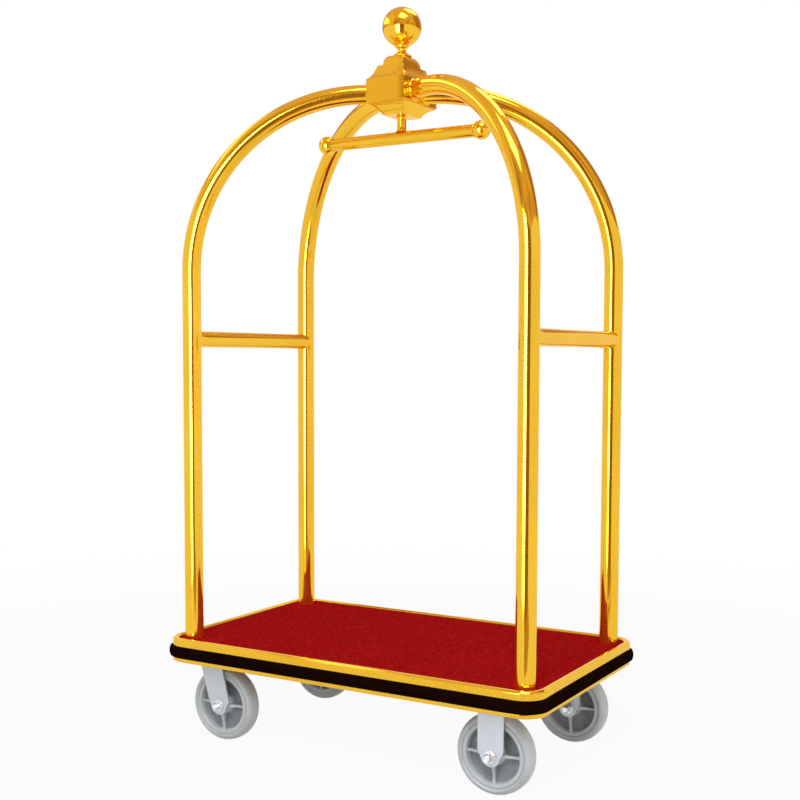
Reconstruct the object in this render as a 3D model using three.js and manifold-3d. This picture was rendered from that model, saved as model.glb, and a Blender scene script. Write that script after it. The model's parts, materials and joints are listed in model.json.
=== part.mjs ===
// Hotel luggage cart: a carpeted deck on four casters, four bent corner tubes that meet in a crown, and a hanging rail.
// Millimetres, +Z up. The origin is on the floor under the middle of the cart. X is the long side, Y the short side.
// The swivel casters are at the -X end, the rigid casters at the +X end.
import * as THREE from 'three';
import { mergeVertices } from 'three/addons/utils/BufferGeometryUtils.js';
import Module from 'manifold-3d';

const wasm = await Module();
wasm.setup();

// ---------------------------------------------------------------- driving dimensions
const GAP = 0.3;                 // clearance between touching pieces

const POST_X = 507.2;            // post centres
const POST_Y = 272.1;
const POST_R = 25.4;             // 2 inch tube
const POST_WALL = 1.6;
const BEND_R = 475;              // centreline radius of the arch
const ARCH_TOP = 1773;           // centreline height of the arch's level top

const DECK_CX = 505;             // centre of the deck's corner arcs
const DECK_CY = 274;
const CARPET_R = 41.9;           // corner radius of carpet and board
const BOARD_Z0 = 261, BOARD_Z1 = 279;
const CARPET_Z0 = 279.3, CARPET_Z1 = 285;
const RIM_Z0 = 223.5, RIM_Z1 = 289;

const BAR_Z = 1114;              // push bars
const BAR_R = 22.25;

const BLOCK_X = 59, BLOCK_Y = 88; // half sizes of the crown block
const BLOCK_Z0 = 1742, BLOCK_Z1 = 1804;
const TIER_TOP = 1871.3;
const FOOT_Z0 = 1713;            // underside of the lower moulding
const BALL_Z = 1950.5, BALL_R = 52.5;
const ROD_R = 5;

const RAIL_Z = 1657, RAIL_R = 17, RAIL_BALL_X = 241, RAIL_BALL_R = 25;
const STEM_R = 12.5;

const WHEEL_R = 101.6;           // 8 inch wheel
const CASTER_Y = 240;
const SWIVEL_X = -465;           // swivel axes
const TRAIL = 45;                // wheel centre behind the swivel axis, towards +X at rest
const RIGID_X = 417;
const CASTER_TOP = 239.7;
const LEG_IN = 30, LEG_T = 5;    // fork legs: inner face and thickness
const AXLE_R = 8;
const HEX_R = 13.9;            // half the distance across corners of the axle nut and bolt head

// ---------------------------------------------------------------- materials
const gold = new THREE.MeshStandardMaterial({ color: 0xe8b43a, metalness: 1, roughness: 0.16 });
const carpetRed = new THREE.MeshStandardMaterial({ color: 0x9c0c16, metalness: 0, roughness: 0.95 });
const rubber = new THREE.MeshStandardMaterial({ color: 0x1c0e0c, metalness: 0, roughness: 0.7 });
const wood = new THREE.MeshStandardMaterial({ color: 0xb89468, metalness: 0, roughness: 0.8 });
const blackSteel = new THREE.MeshStandardMaterial({ color: 0x2c2c2e, metalness: 0.4, roughness: 0.5 });
const zinc = new THREE.MeshStandardMaterial({ color: 0xb2bac0, metalness: 0.9, roughness: 0.38 });
const brightZinc = new THREE.MeshStandardMaterial({ color: 0xd8d8d0, metalness: 0.9, roughness: 0.25 });
const tyreGrey = new THREE.MeshStandardMaterial({ color: 0xa9adad, metalness: 0, roughness: 0.5 });
const hubGrey = new THREE.MeshStandardMaterial({ color: 0xa3a8ab, metalness: 0, roughness: 0.45 });

// ---------------------------------------------------------------- helpers
const group = new THREE.Group();
group.name = 'luggage_cart';

function add(name, geometry, material) {
  const mesh = new THREE.Mesh(geometry, material.clone());
  mesh.name = name;
  group.add(mesh);
  return mesh;
}

// A closed geometry as a manifold solid, faces turned outwards.
function solid(geometry) {
  const g = (geometry.index ? geometry.toNonIndexed() : geometry.clone());
  g.deleteAttribute('normal');
  g.deleteAttribute('uv');
  const m = mergeVertices(g, 1e-3);
  const tri = new Uint32Array(m.index.array);
  let s = new wasm.Manifold(new wasm.Mesh({ numProp: 3, vertProperties: new Float32Array(m.attributes.position.array), triVerts: tri }));
  if (s.volume() < 0) {
    for (let i = 0; i < tri.length; i += 3) [tri[i + 1], tri[i + 2]] = [tri[i + 2], tri[i + 1]];
    s = new wasm.Manifold(new wasm.Mesh({ numProp: 3, vertProperties: new Float32Array(m.attributes.position.array), triVerts: tri }));
  }
  return s;
}

function geometryOf(s) {
  const m = s.getMesh();
  const p = new Float32Array((m.vertProperties.length / m.numProp) * 3);
  for (let i = 0; i < p.length / 3; i++) for (let k = 0; k < 3; k++) p[3 * i + k] = m.vertProperties[i * m.numProp + k];
  const g = new THREE.BufferGeometry();
  g.setAttribute('position', new THREE.BufferAttribute(p, 3));
  g.setIndex(new THREE.BufferAttribute(new Uint32Array(m.triVerts), 1));
  return g;
}

// Cylinder or prism on a vertical axis between two heights.
function post(r, z0, z1, n, x = 0, y = 0, turn = 0) {
  const g = new THREE.CylinderGeometry(r, r, z1 - z0, n);
  g.rotateX(Math.PI / 2);
  g.rotateZ(turn);
  g.translate(x, y, (z0 + z1) / 2);
  return g;
}

// Cylinder or prism on an axis along Y.
function pin(r, y0, y1, n, x = 0, z = 0, turn = 0) {
  const g = new THREE.CylinderGeometry(r, r, y1 - y0, n);
  g.rotateY(turn);
  g.translate(x, (y0 + y1) / 2, z);
  return g;
}

function block(x0, x1, y0, y1, z0, z1) {
  const g = new THREE.BoxGeometry(x1 - x0, y1 - y0, z1 - z0);
  g.translate((x0 + x1) / 2, (y0 + y1) / 2, (z0 + z1) / 2);
  return g;
}

// Turned piece about a vertical axis; points are [radius, height].
function turned(points, n, x = 0, y = 0) {
  const g = new THREE.LatheGeometry(points.map(([r, z]) => new THREE.Vector2(r, z)), n);
  g.rotateX(Math.PI / 2);
  g.translate(x, y, 0);
  return g;
}

function closed(points) { return [...points, points[0]]; }

// A rounded rectangle about the deck's corner centres; offset is measured from those centres.
function deckShape(offset, n = 4) {
  const s = new THREE.Shape();
  const corners = [[1, 1, 0], [-1, 1, 90], [-1, -1, 180], [1, -1, 270]];
  corners.forEach(([sx, sy, a0], k) => {
    for (let i = 0; i <= n; i++) {
      const a = THREE.MathUtils.degToRad(a0 + (90 * i) / n);
      const x = sx * DECK_CX + offset * Math.cos(a), y = sy * DECK_CY + offset * Math.sin(a);
      if (k === 0 && i === 0) s.moveTo(x, y); else s.lineTo(x, y);
    }
  });
  s.closePath();
  return s;
}

function hole(r, x, y, n = 16, turn = 0) {
  const p = new THREE.Path();
  for (let i = 0; i < n; i++) {
    const a = turn - (2 * Math.PI * i) / n;
    if (i === 0) p.moveTo(x + r * Math.cos(a), y + r * Math.sin(a));
    else p.lineTo(x + r * Math.cos(a), y + r * Math.sin(a));
  }
  p.closePath();
  return p;
}

function slab(shape, z0, z1) {
  const g = new THREE.ExtrudeGeometry(shape, { depth: z1 - z0, bevelEnabled: false, curveSegments: 8 });
  g.translate(0, 0, z0);
  return g;
}

// A ring round the deck: the section is a closed polygon of [offset, height].
function deckRing(section, n = 4) {
  const stations = [];
  [[1, 1, 0], [-1, 1, 90], [-1, -1, 180], [1, -1, 270]].forEach(([sx, sy, a0]) => {
    for (let i = 0; i <= n; i++) {
      const a = THREE.MathUtils.degToRad(a0 + (90 * i) / n);
      stations.push([sx * DECK_CX, sy * DECK_CY, Math.cos(a), Math.sin(a)]);
    }
  });
  const p = [], index = [], N = section.length, M = stations.length;
  for (const [cx, cy, c, s] of stations) for (const [o, z] of section) p.push(cx + o * c, cy + o * s, z);
  for (let j = 0; j < M; j++) for (let i = 0; i < N; i++) {
    const a = j * N + i, b = j * N + ((i + 1) % N), c = ((j + 1) % M) * N + i, d = ((j + 1) % M) * N + ((i + 1) % N);
    index.push(a, b, d, a, d, c);
  }
  const g = new THREE.BufferGeometry();
  g.setAttribute('position', new THREE.BufferAttribute(new Float32Array(p), 3));
  g.setIndex(index);
  return geometryOf(solid(g));
}

function circleShape(r, n, inner = 0, m = n) {
  const s = new THREE.Shape();
  for (let i = 0; i < n; i++) {
    const a = (2 * Math.PI * i) / n;
    if (i === 0) s.moveTo(r * Math.cos(a), r * Math.sin(a)); else s.lineTo(r * Math.cos(a), r * Math.sin(a));
  }
  s.closePath();
  if (inner > 0) s.holes.push(hole(inner, 0, 0, m));
  return s;
}

// Centre line through fixed stations: a straight, an arc, a straight.
class BentLine extends THREE.Curve {
  constructor(points, tangents) { super(); this.points = points; this.tangents = tangents; }
  getPoint(t) {
    const k = Math.min(t * (this.points.length - 1), this.points.length - 1), i = Math.min(Math.floor(k), this.points.length - 2);
    return this.points[i].clone().lerp(this.points[i + 1], k - i);
  }
  getPointAt(u) { return this.getPoint(u); }
  getTangentAt(u) {
    const k = u * (this.tangents.length - 1), i = Math.min(Math.floor(k + 1e-9), this.tangents.length - 2);
    return this.tangents[i].clone().lerp(this.tangents[i + 1], k - i).normalize();
  }
  getTangent(t) { return this.getTangentAt(t); }
}

// ---------------------------------------------------------------- deck
const POSTS = [['front_left', -1, -1], ['rear_left', -1, 1], ['front_right', 1, -1], ['rear_right', 1, 1]];

const boardShape = deckShape(CARPET_R);
POSTS.forEach(([, sx, sy]) => boardShape.holes.push(hole(6.4, sx * POST_X, sy * POST_Y, 12)));
add('deck_board', slab(boardShape, BOARD_Z0, BOARD_Z1), wood);

const carpetShape = deckShape(CARPET_R);
POSTS.forEach(([, sx, sy]) => carpetShape.holes.push(hole(POST_R + 0.7, sx * POST_X, sy * POST_Y, 16)));
add('carpet', slab(carpetShape, CARPET_Z0, CARPET_Z1), carpetRed);

// Rim rail: an upper lip proud of the carpet, a groove for the bumper, a lower lip, and a ledge under the board.
add('rim_rail', deckRing([
  [31, 257], [48, 257], [48, RIM_Z0], [57.5, RIM_Z0], [60, 226], [60, 234.7], [52, 234.7], [52, 266.8],
  [60, 266.8], [60, 284.5], [58.6, 287.6], [55.5, RIM_Z1], [48, RIM_Z1], [44.6, 287.9], [42.4, 285], [42.4, 260.7], [31, 260.7],
]), gold);
add('bumper', deckRing([
  [52.3, 235.1], [63.5, 235.1], [67.6, 238.6], [69.6, 244.6], [70, 250.8], [69.6, 257], [67.6, 263], [63.5, 266.5], [52.3, 266.5],
]), rubber);

// Two folded steel channels across the underside carry the casters.
function channel(x) {
  const s = new THREE.Shape();
  [[-55, 240], [55, 240], [55, 260.7], [52, 260.7], [52, 243], [-52, 243], [-52, 260.7], [-55, 260.7]]
    .forEach(([u, z], i) => (i ? s.lineTo(u, z) : s.moveTo(u, z)));
  s.closePath();
  const g = new THREE.ExtrudeGeometry(s, { depth: 592, bevelEnabled: false });
  g.rotateX(Math.PI / 2);
  g.translate(x, 296, 0);
  return g;
}
const CHANNEL_LEFT = -470, CHANNEL_RIGHT = RIGID_X;
add('cross_channel_left', channel(CHANNEL_LEFT), blackSteel);
add('cross_channel_right', channel(CHANNEL_RIGHT), blackSteel);

// ---------------------------------------------------------------- posts and arches
const SIDES = 16;
const POST_Z0 = BOARD_Z1 + GAP;
const HALF_DIAGONAL = Math.hypot(POST_X, POST_Y);
POSTS.forEach(([name, sx, sy]) => {
  const dir = new THREE.Vector3(-sx * POST_X, -sy * POST_Y, 0).normalize(); // towards the crown
  const base = new THREE.Vector3(sx * POST_X, sy * POST_Y, 0);
  const points = [], tangents = [];
  const up = new THREE.Vector3(0, 0, 1);
  points.push(base.clone().setZ(POST_Z0)); tangents.push(up.clone());
  const ARC = 9;
  for (let i = 0; i <= ARC; i++) {
    const a = (Math.PI / 2) * (i / ARC);
    points.push(base.clone().addScaledVector(dir, BEND_R * (1 - Math.cos(a))).setZ(ARCH_TOP - BEND_R + BEND_R * Math.sin(a)));
    tangents.push(dir.clone().multiplyScalar(Math.sin(a)).addScaledVector(up, Math.cos(a)));
  }
  points.push(base.clone().addScaledVector(dir, HALF_DIAGONAL - 48).setZ(ARCH_TOP)); tangents.push(dir.clone());
  const g = new THREE.ExtrudeGeometry(circleShape(POST_R, SIDES, POST_R - POST_WALL, 10),
    { steps: points.length - 1, extrudePath: new BentLine(points, tangents), bevelEnabled: false });
  let s = solid(g);
  // a welded plug with a threaded hole closes the foot
  const plug = solid(post(POST_R - POST_WALL + 0.4, POST_Z0, POST_Z0 + 22, 12, base.x, base.y, 0));
  s = s.add(plug).subtract(solid(post(6.4, POST_Z0 - 5, POST_Z0 + 30, 12, base.x, base.y)));
  // square end against the crown block's face
  s = s.subtract(solid(block(-(BLOCK_X + GAP), BLOCK_X + GAP, -200, 200, 1700, 1850)));
  add('post_' + name, geometryOf(s), gold);
});

// Foot bolts: hexagon head and washer under the board, shank up into the plug.
POSTS.forEach(([name, sx, sy]) => {
  const x = sx * POST_X, y = sy * POST_Y;
  const s = solid(post(10.2, 250.2, 258.2, 6, x, y, 0.2)).add(solid(post(11.6, 258.1, 260.7, 16, x, y)))
    .add(solid(post(6, 260.6, 299, 12, x, y)));
  add('post_bolt_' + name, geometryOf(s), brightZinc);
});

// ---------------------------------------------------------------- push bars, saddle-cut on the posts
[['left', -1], ['right', 1]].forEach(([name, sx]) => {
  let s = solid(pin(BAR_R, -POST_Y, POST_Y, 16, sx * POST_X, BAR_Z)).subtract(solid(pin(BAR_R - 1.6, -POST_Y - 5, POST_Y + 5, 12, sx * POST_X, BAR_Z)));
  for (const sy of [-1, 1]) s = s.subtract(solid(post(25.9, BAR_Z - 60, BAR_Z + 60, 32, sx * POST_X, sy * POST_Y)));
  // the tube ends inside the posts' outline fall away
  const parts = s.decompose().sort((a, b) => b.volume() - a.volume());
  add('push_bar_' + name, geometryOf(parts[0]), gold);
});

// ---------------------------------------------------------------- crown
// Rectangular moulding: levels are [scale, height], the scale multiplies the block's half sizes.
function moulding(levels, kx = 1, ky = 1) {
  const g = new THREE.LatheGeometry(levels.map(([k, z]) => new THREE.Vector2(k * Math.SQRT2, z)), 4, Math.PI / 4);
  g.rotateX(Math.PI / 2);
  g.scale(BLOCK_X * kx, BLOCK_Y * ky, 1);
  return g;
}
const rodHole = () => solid(post(ROD_R + 0.5, 1600, 1990, 12));

add('crown_block', geometryOf(
  solid(block(-BLOCK_X, BLOCK_X, -BLOCK_Y, BLOCK_Y, BLOCK_Z0, BLOCK_Z1))
    .subtract(solid(block(-BLOCK_X + 4, BLOCK_X - 4, -BLOCK_Y + 4, BLOCK_Y - 4, BLOCK_Z0 - 5, BLOCK_Z1 + 5)))), gold);

const topTier = solid(moulding([
  [0, BLOCK_Z1 + GAP], [0.99, BLOCK_Z1 + GAP], [0.93, 1808], [0.862, 1813], [0.79, 1821.5], [0.738, 1829], [0.7, 1837.5], [0.682, 1841],
  [0.54, 1843], [0.528, 1850], [0.508, 1856.5], [0.476, 1861.5], [0.435, 1866], [0.392, 1869], [0.34, TIER_TOP], [0, TIER_TOP],
])).subtract(solid(moulding([
  [0, 1790], [0.86, 1790], [0.86, 1806], [0.64, 1824], [0.58, 1835], [0.42, 1840], [0.42, 1858], [0, 1858],
]))).subtract(rodHole());
add('crown_top_moulding', geometryOf(topTier), gold);

const bottomTier = solid(moulding([
  [0, FOOT_Z0], [0.54, FOOT_Z0], [0.575, 1717], [0.63, 1722], [0.71, 1728], [0.81, 1733.5], [0.93, 1738.5], [0.965, BLOCK_Z0 - GAP], [0, BLOCK_Z0 - GAP],
])).subtract(solid(moulding([
  [0, 1719], [0.46, 1719], [0.52, 1724], [0.62, 1731], [0.8, 1738], [0.85, 1750], [0, 1750],
]))).subtract(rodHole());
add('crown_bottom_moulding', geometryOf(bottomTier), gold);

const neck = [[5.5, TIER_TOP + GAP], [26, TIER_TOP + GAP], [27, 1873.5], [24, 1876.2], [21, 1878.8], [15.6, 1881], [11.6, 1884], [10.9, 1887], [11.6, 1890.5],
  [14, 1893.5], [16.3, 1897], [18.4, 1900.7], [9, 1898.1], [5.5, 1897.7]];
add('finial_neck', turned(closed(neck), 16), gold);

// Finial ball: a spun shell with a threaded hole in its underside.
const ball = [];
const shell = 3.5, inner = BALL_R - shell;
for (let i = 0; i <= 7; i++) {
  const a = Math.PI / 2 - ((Math.PI / 2 + Math.acos(5.5 / inner)) * i) / 7;
  ball.push([i === 0 ? 0 : inner * Math.cos(a), BALL_Z + inner * Math.sin(a)]);
}
for (let i = 10; i >= 0; i--) {
  const a = Math.PI / 2 - ((Math.PI / 2 + Math.acos(5.5 / BALL_R)) * i) / 10;
  ball.push([i === 0 ? 0 : BALL_R * Math.cos(a), BALL_Z + BALL_R * Math.sin(a)]);
}
add('finial_ball', geometryOf(solid(turned(ball, 20))), gold);

add('tie_rod', post(ROD_R, 1690, 1916, 12), brightZinc);
add('tie_rod_nut', geometryOf(solid(post(9.2, 1908, 1914, 6)).subtract(solid(post(ROD_R + 0.3, 1900, 1915, 12)))), brightZinc);

// Stem, saddle-cut on the rail, with a blind threaded hole for the tie rod.
const stem = solid(post(STEM_R, RAIL_Z, FOOT_Z0 - GAP, 16)).subtract(solid(post(ROD_R + 0.5, 1686, 1720, 12)))
  .subtract(solid((() => { const g = new THREE.CylinderGeometry(RAIL_R + 0.6, RAIL_R + 0.6, 80, 32); g.rotateZ(Math.PI / 2); g.translate(0, 0, RAIL_Z); return g; })()));
add('hanger_stem', geometryOf(stem.decompose().sort((a, b) => b.volume() - a.volume())[0]), gold);

// Hanging rail: a tube open at both ends.
const RAIL_END = 222.4;
const railShape = circleShape(RAIL_R, 16, RAIL_R - 2, 16);
const rail = new THREE.ExtrudeGeometry(railShape, { depth: 2 * RAIL_END, bevelEnabled: false });
rail.translate(0, 0, -RAIL_END);
rail.rotateY(Math.PI / 2);
rail.translate(0, 0, RAIL_Z);
add('hanger_rail', rail, gold);

// End balls with a spigot that sits in the tube. The turned profile runs outwards along the rail.
[['left', -1], ['right', 1]].forEach(([name, sx]) => {
  const p = [[0, RAIL_END - 20], [14.4, RAIL_END - 20], [14.4, RAIL_END + 0.3], [16.9, RAIL_END + 0.3]];
  const a0 = -Math.acos(16.9 / RAIL_BALL_R);
  for (let i = 1; i <= 7; i++) {
    const a = a0 + ((Math.PI / 2 - a0) * i) / 7;
    p.push([i === 7 ? 0 : RAIL_BALL_R * Math.cos(a), RAIL_BALL_X + RAIL_BALL_R * Math.sin(a)]);
  }
  const g = turned(p, 16);
  g.rotateY((sx * Math.PI) / 2);
  g.translate(0, 0, RAIL_Z);
  add('rail_ball_' + name, g, gold);
});

// ---------------------------------------------------------------- casters
// One fork leg in the XZ plane: top edge from xa to xb at height zt, straight edges down to the shoulders, round foot about the axle.
function leg(xa, xb, zt, xc, y0, y1) {
  const s = new THREE.Shape(), r = 26, zc = WHEEL_R;
  s.moveTo(xa, zt);
  s.lineTo(xc - 35, zc + 14);
  const a0 = Math.PI + 0.62, a1 = 2 * Math.PI - 0.1;
  for (let i = 0; i <= 7; i++) {
    const a = a0 + ((a1 - a0) * i) / 7;
    s.lineTo(xc + r * Math.cos(a), zc + r * Math.sin(a));
  }
  s.lineTo(xc + 35, zc + 14);
  s.lineTo(xb, zt);
  s.closePath();
  const g = new THREE.ExtrudeGeometry(s, { depth: y1 - y0, bevelEnabled: false });
  g.rotateX(Math.PI / 2);
  g.translate(0, y1, 0);
  return g;
}

function wheel(prefix, x, y) {
  const flats = 24, flat = Math.cos(Math.PI / flats);   // the tread's flats, not its corners, lie on the nominal radius
  const R = WHEEL_R / flat;
  const tyre = closed([[83.5, -21.8], [87.5, -24.5], [93, -23.6], [98.4, -18], [R, -8], [R, 8], [98.4, 18], [93, 23.6], [87.5, 24.5], [83.5, 21.8]]);
  const place = (g) => { g.rotateX(Math.PI / 2); g.rotateY(Math.PI / flats); g.translate(x, y, WHEEL_R); return g; };
  add(prefix + '_tyre', place(turned(tyre, flats)), tyreGrey);
  const hub = closed([[11.3, -28], [24, -28], [26.5, -3], [70.6, -3], [72.8, -23], [83, -22.4], [83, 22.4], [72.8, 23], [70.6, 3], [26.5, 3], [24, 28], [11.3, 28]]);
  const barrel = turned(hub, flats);
  barrel.rotateZ(Math.PI / flats);   // flats in line with the tyre's
  let s = solid(barrel);
  for (let k = 0; k < 4; k++) {
    const g = new THREE.BoxGeometry(52, 6, 32);   // radial rib on both sides of the web
    g.translate(48, 0, 0);
    g.rotateZ((k * Math.PI) / 2);
    s = s.add(solid(g));
  }
  const h = geometryOf(s);
  h.rotateX(Math.PI / 2);
  h.translate(x, y, WHEEL_R);
  add(prefix + '_hub', h, hubGrey);
}

function axle(prefix, x, y) {
  const z = WHEEL_R, out = LEG_IN + LEG_T + GAP;
  // spanner bushing: a steel sleeve clamped between the legs
  add(prefix + '_axle_bushing', geometryOf(solid(pin(11, y - LEG_IN + GAP, y + LEG_IN - GAP, 16, x, z)).subtract(solid(pin(AXLE_R + 0.4, y - 40, y + 40, 12, x, z)))), brightZinc);
  add(prefix + '_axle_bolt', geometryOf(solid(pin(AXLE_R, y - out - 20, y + out + 1, 12, x, z)).add(solid(pin(HEX_R, y + out, y + out + 10, 6, x, z)))), brightZinc);
  add(prefix + '_axle_nut', geometryOf(solid(pin(15.4, y - out - 2.4, y - out, 16, x, z)).add(solid(pin(HEX_R, y - out - 15, y - out - 2.3, 6, x, z, 0.3)))
    .subtract(solid(pin(AXLE_R + 0.3, y - 60, y, 12, x, z)))), brightZinc);
}
const axleHole = (x, y) => solid(pin(AXLE_R + 0.4, y - 45, y + 45, 12, x, WHEEL_R));

function plate(x, y, z0 = 234) { return solid(block(x - 50, x + 50, y - 55, y + 55, z0, CASTER_TOP)); }

// Rigid casters: a plate and two straight legs in one pressing.
[['front_right', -1], ['rear_right', 1]].forEach(([name, sy]) => {
  const x = RIGID_X, y = sy * CASTER_Y;
  let s = plate(x, y);
  for (const side of [-1, 1]) {
    const y0 = side < 0 ? y - LEG_IN - LEG_T : y + LEG_IN;
    s = s.add(solid(leg(x - 35, x + 35, 236, x, y0, y0 + LEG_T)));
  }
  add(name + '_rigid_fork', geometryOf(s.subtract(axleHole(x, y))), zinc);
  axle(name, x, y);
  wheel(name, x, y);
});

// Swivel casters: plate with the upper race, ball race, kingpin, and a fork that trails.
[['front_left', -1], ['rear_left', 1]].forEach(([name, sy]) => {
  const x = SWIVEL_X, y = sy * CASTER_Y, xc = x + TRAIL;
  add(name + '_top_plate', geometryOf(plate(x, y).add(solid(turned([[0, 228.6], [30, 228.6], [34, 232], [36, 234.5], [0, 234.5]], 16, x, y)))
    .subtract(solid(post(8.5, 220, 250, 16, x, y)))), zinc);
  add(name + '_ball_race', geometryOf(solid(turned(closed([[16, 221.4], [33, 221.4], [35, 223], [35, 226.5], [33, 228.2], [16, 228.2]]), 16, x, y))), brightZinc);
  // kingpin: countersunk head in the plate, swaged nut under the fork's web
  add(name + '_kingpin', geometryOf(solid(post(8, 212, 239.4, 16, x, y)).add(solid(post(13, 205.5, 215.4, 6, x, y, 0.1)))), brightZinc);
  let s = solid(post(36, 216, 221, 20, x, y)).add(solid(block(x - 20, x + 52, y - LEG_IN - LEG_T, y + LEG_IN + LEG_T, 216, 221)));
  for (const side of [-1, 1]) {
    const y0 = side < 0 ? y - LEG_IN - LEG_T : y + LEG_IN;
    s = s.add(solid(leg(x - 20, x + 52, 220.9, xc, y0, y0 + LEG_T)));
  }
  s = s.subtract(solid(post(9, 200, 230, 16, x, y))).subtract(axleHole(xc, y));
  add(name + '_swivel_fork', geometryOf(s), zinc);
  axle(name, xc, y);
  wheel(name, xc, y);
});

export default group;
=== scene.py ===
# Hotel luggage cart: the looks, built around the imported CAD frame.
import json
import math

import bmesh
import bpy
import numpy as np
from mathutils import Matrix, Vector

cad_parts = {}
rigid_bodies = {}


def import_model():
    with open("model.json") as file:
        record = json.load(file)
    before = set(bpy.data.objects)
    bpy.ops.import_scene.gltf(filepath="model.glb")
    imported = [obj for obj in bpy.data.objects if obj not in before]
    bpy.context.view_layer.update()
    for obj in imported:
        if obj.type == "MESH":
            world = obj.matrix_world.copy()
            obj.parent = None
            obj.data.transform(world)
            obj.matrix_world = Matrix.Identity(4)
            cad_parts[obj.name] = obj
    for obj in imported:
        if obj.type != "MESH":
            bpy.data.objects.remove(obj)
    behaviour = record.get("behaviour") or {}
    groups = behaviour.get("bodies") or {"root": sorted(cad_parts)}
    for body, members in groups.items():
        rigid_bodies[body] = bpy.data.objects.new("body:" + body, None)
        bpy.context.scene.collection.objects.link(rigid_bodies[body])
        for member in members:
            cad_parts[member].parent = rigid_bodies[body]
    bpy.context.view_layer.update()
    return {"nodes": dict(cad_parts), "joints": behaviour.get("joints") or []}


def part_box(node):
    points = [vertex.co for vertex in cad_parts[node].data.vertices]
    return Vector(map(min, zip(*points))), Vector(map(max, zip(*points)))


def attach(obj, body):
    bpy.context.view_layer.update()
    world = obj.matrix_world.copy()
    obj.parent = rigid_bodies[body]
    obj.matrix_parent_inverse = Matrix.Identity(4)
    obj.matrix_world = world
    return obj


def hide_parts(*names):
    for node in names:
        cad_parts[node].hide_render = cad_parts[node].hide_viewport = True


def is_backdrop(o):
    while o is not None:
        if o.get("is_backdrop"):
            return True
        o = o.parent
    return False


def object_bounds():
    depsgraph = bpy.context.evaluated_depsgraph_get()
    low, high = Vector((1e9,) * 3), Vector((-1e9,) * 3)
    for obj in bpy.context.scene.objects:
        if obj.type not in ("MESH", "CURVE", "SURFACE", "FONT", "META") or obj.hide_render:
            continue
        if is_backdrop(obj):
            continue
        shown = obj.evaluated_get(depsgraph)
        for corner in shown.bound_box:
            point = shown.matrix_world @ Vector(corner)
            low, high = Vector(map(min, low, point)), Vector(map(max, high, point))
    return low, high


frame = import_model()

MM = 0.001
RNG = np.random.default_rng(7)


def centre(node):
    lo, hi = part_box(node)
    return (lo + hi) / 2


# =====================================================================================================
# camera
# =====================================================================================================
cam_data = bpy.data.cameras.new("camera")
cam = bpy.data.objects.new("camera", cam_data)
bpy.context.scene.collection.objects.link(cam)
AZ, PITCH, ROLL = math.radians(30.618), math.radians(3.842), math.radians(0.178)
back = Vector((math.sin(AZ) * math.cos(PITCH), -math.cos(AZ) * math.cos(PITCH), math.sin(PITCH)))
right = (-back).cross(Vector((0, 0, 1))).normalized()
up = right.cross(-back)
r2 = right * math.cos(ROLL) + up * math.sin(ROLL)
u2 = -right * math.sin(ROLL) + up * math.cos(ROLL)
CAM_AT = Vector((1.6947, -2.8672, 1.0626))
cam.matrix_world = Matrix((
    (r2.x, u2.x, back.x, CAM_AT.x), (r2.y, u2.y, back.y, CAM_AT.y), (r2.z, u2.z, back.z, CAM_AT.z), (0, 0, 0, 1)))
cam_data.sensor_width = 36
cam_data.lens = 1214.2 * 36 / 800
cam_data.shift_y = 0.05
cam_data.clip_start, cam_data.clip_end = 0.05, 200
bpy.context.scene.camera = cam


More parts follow.
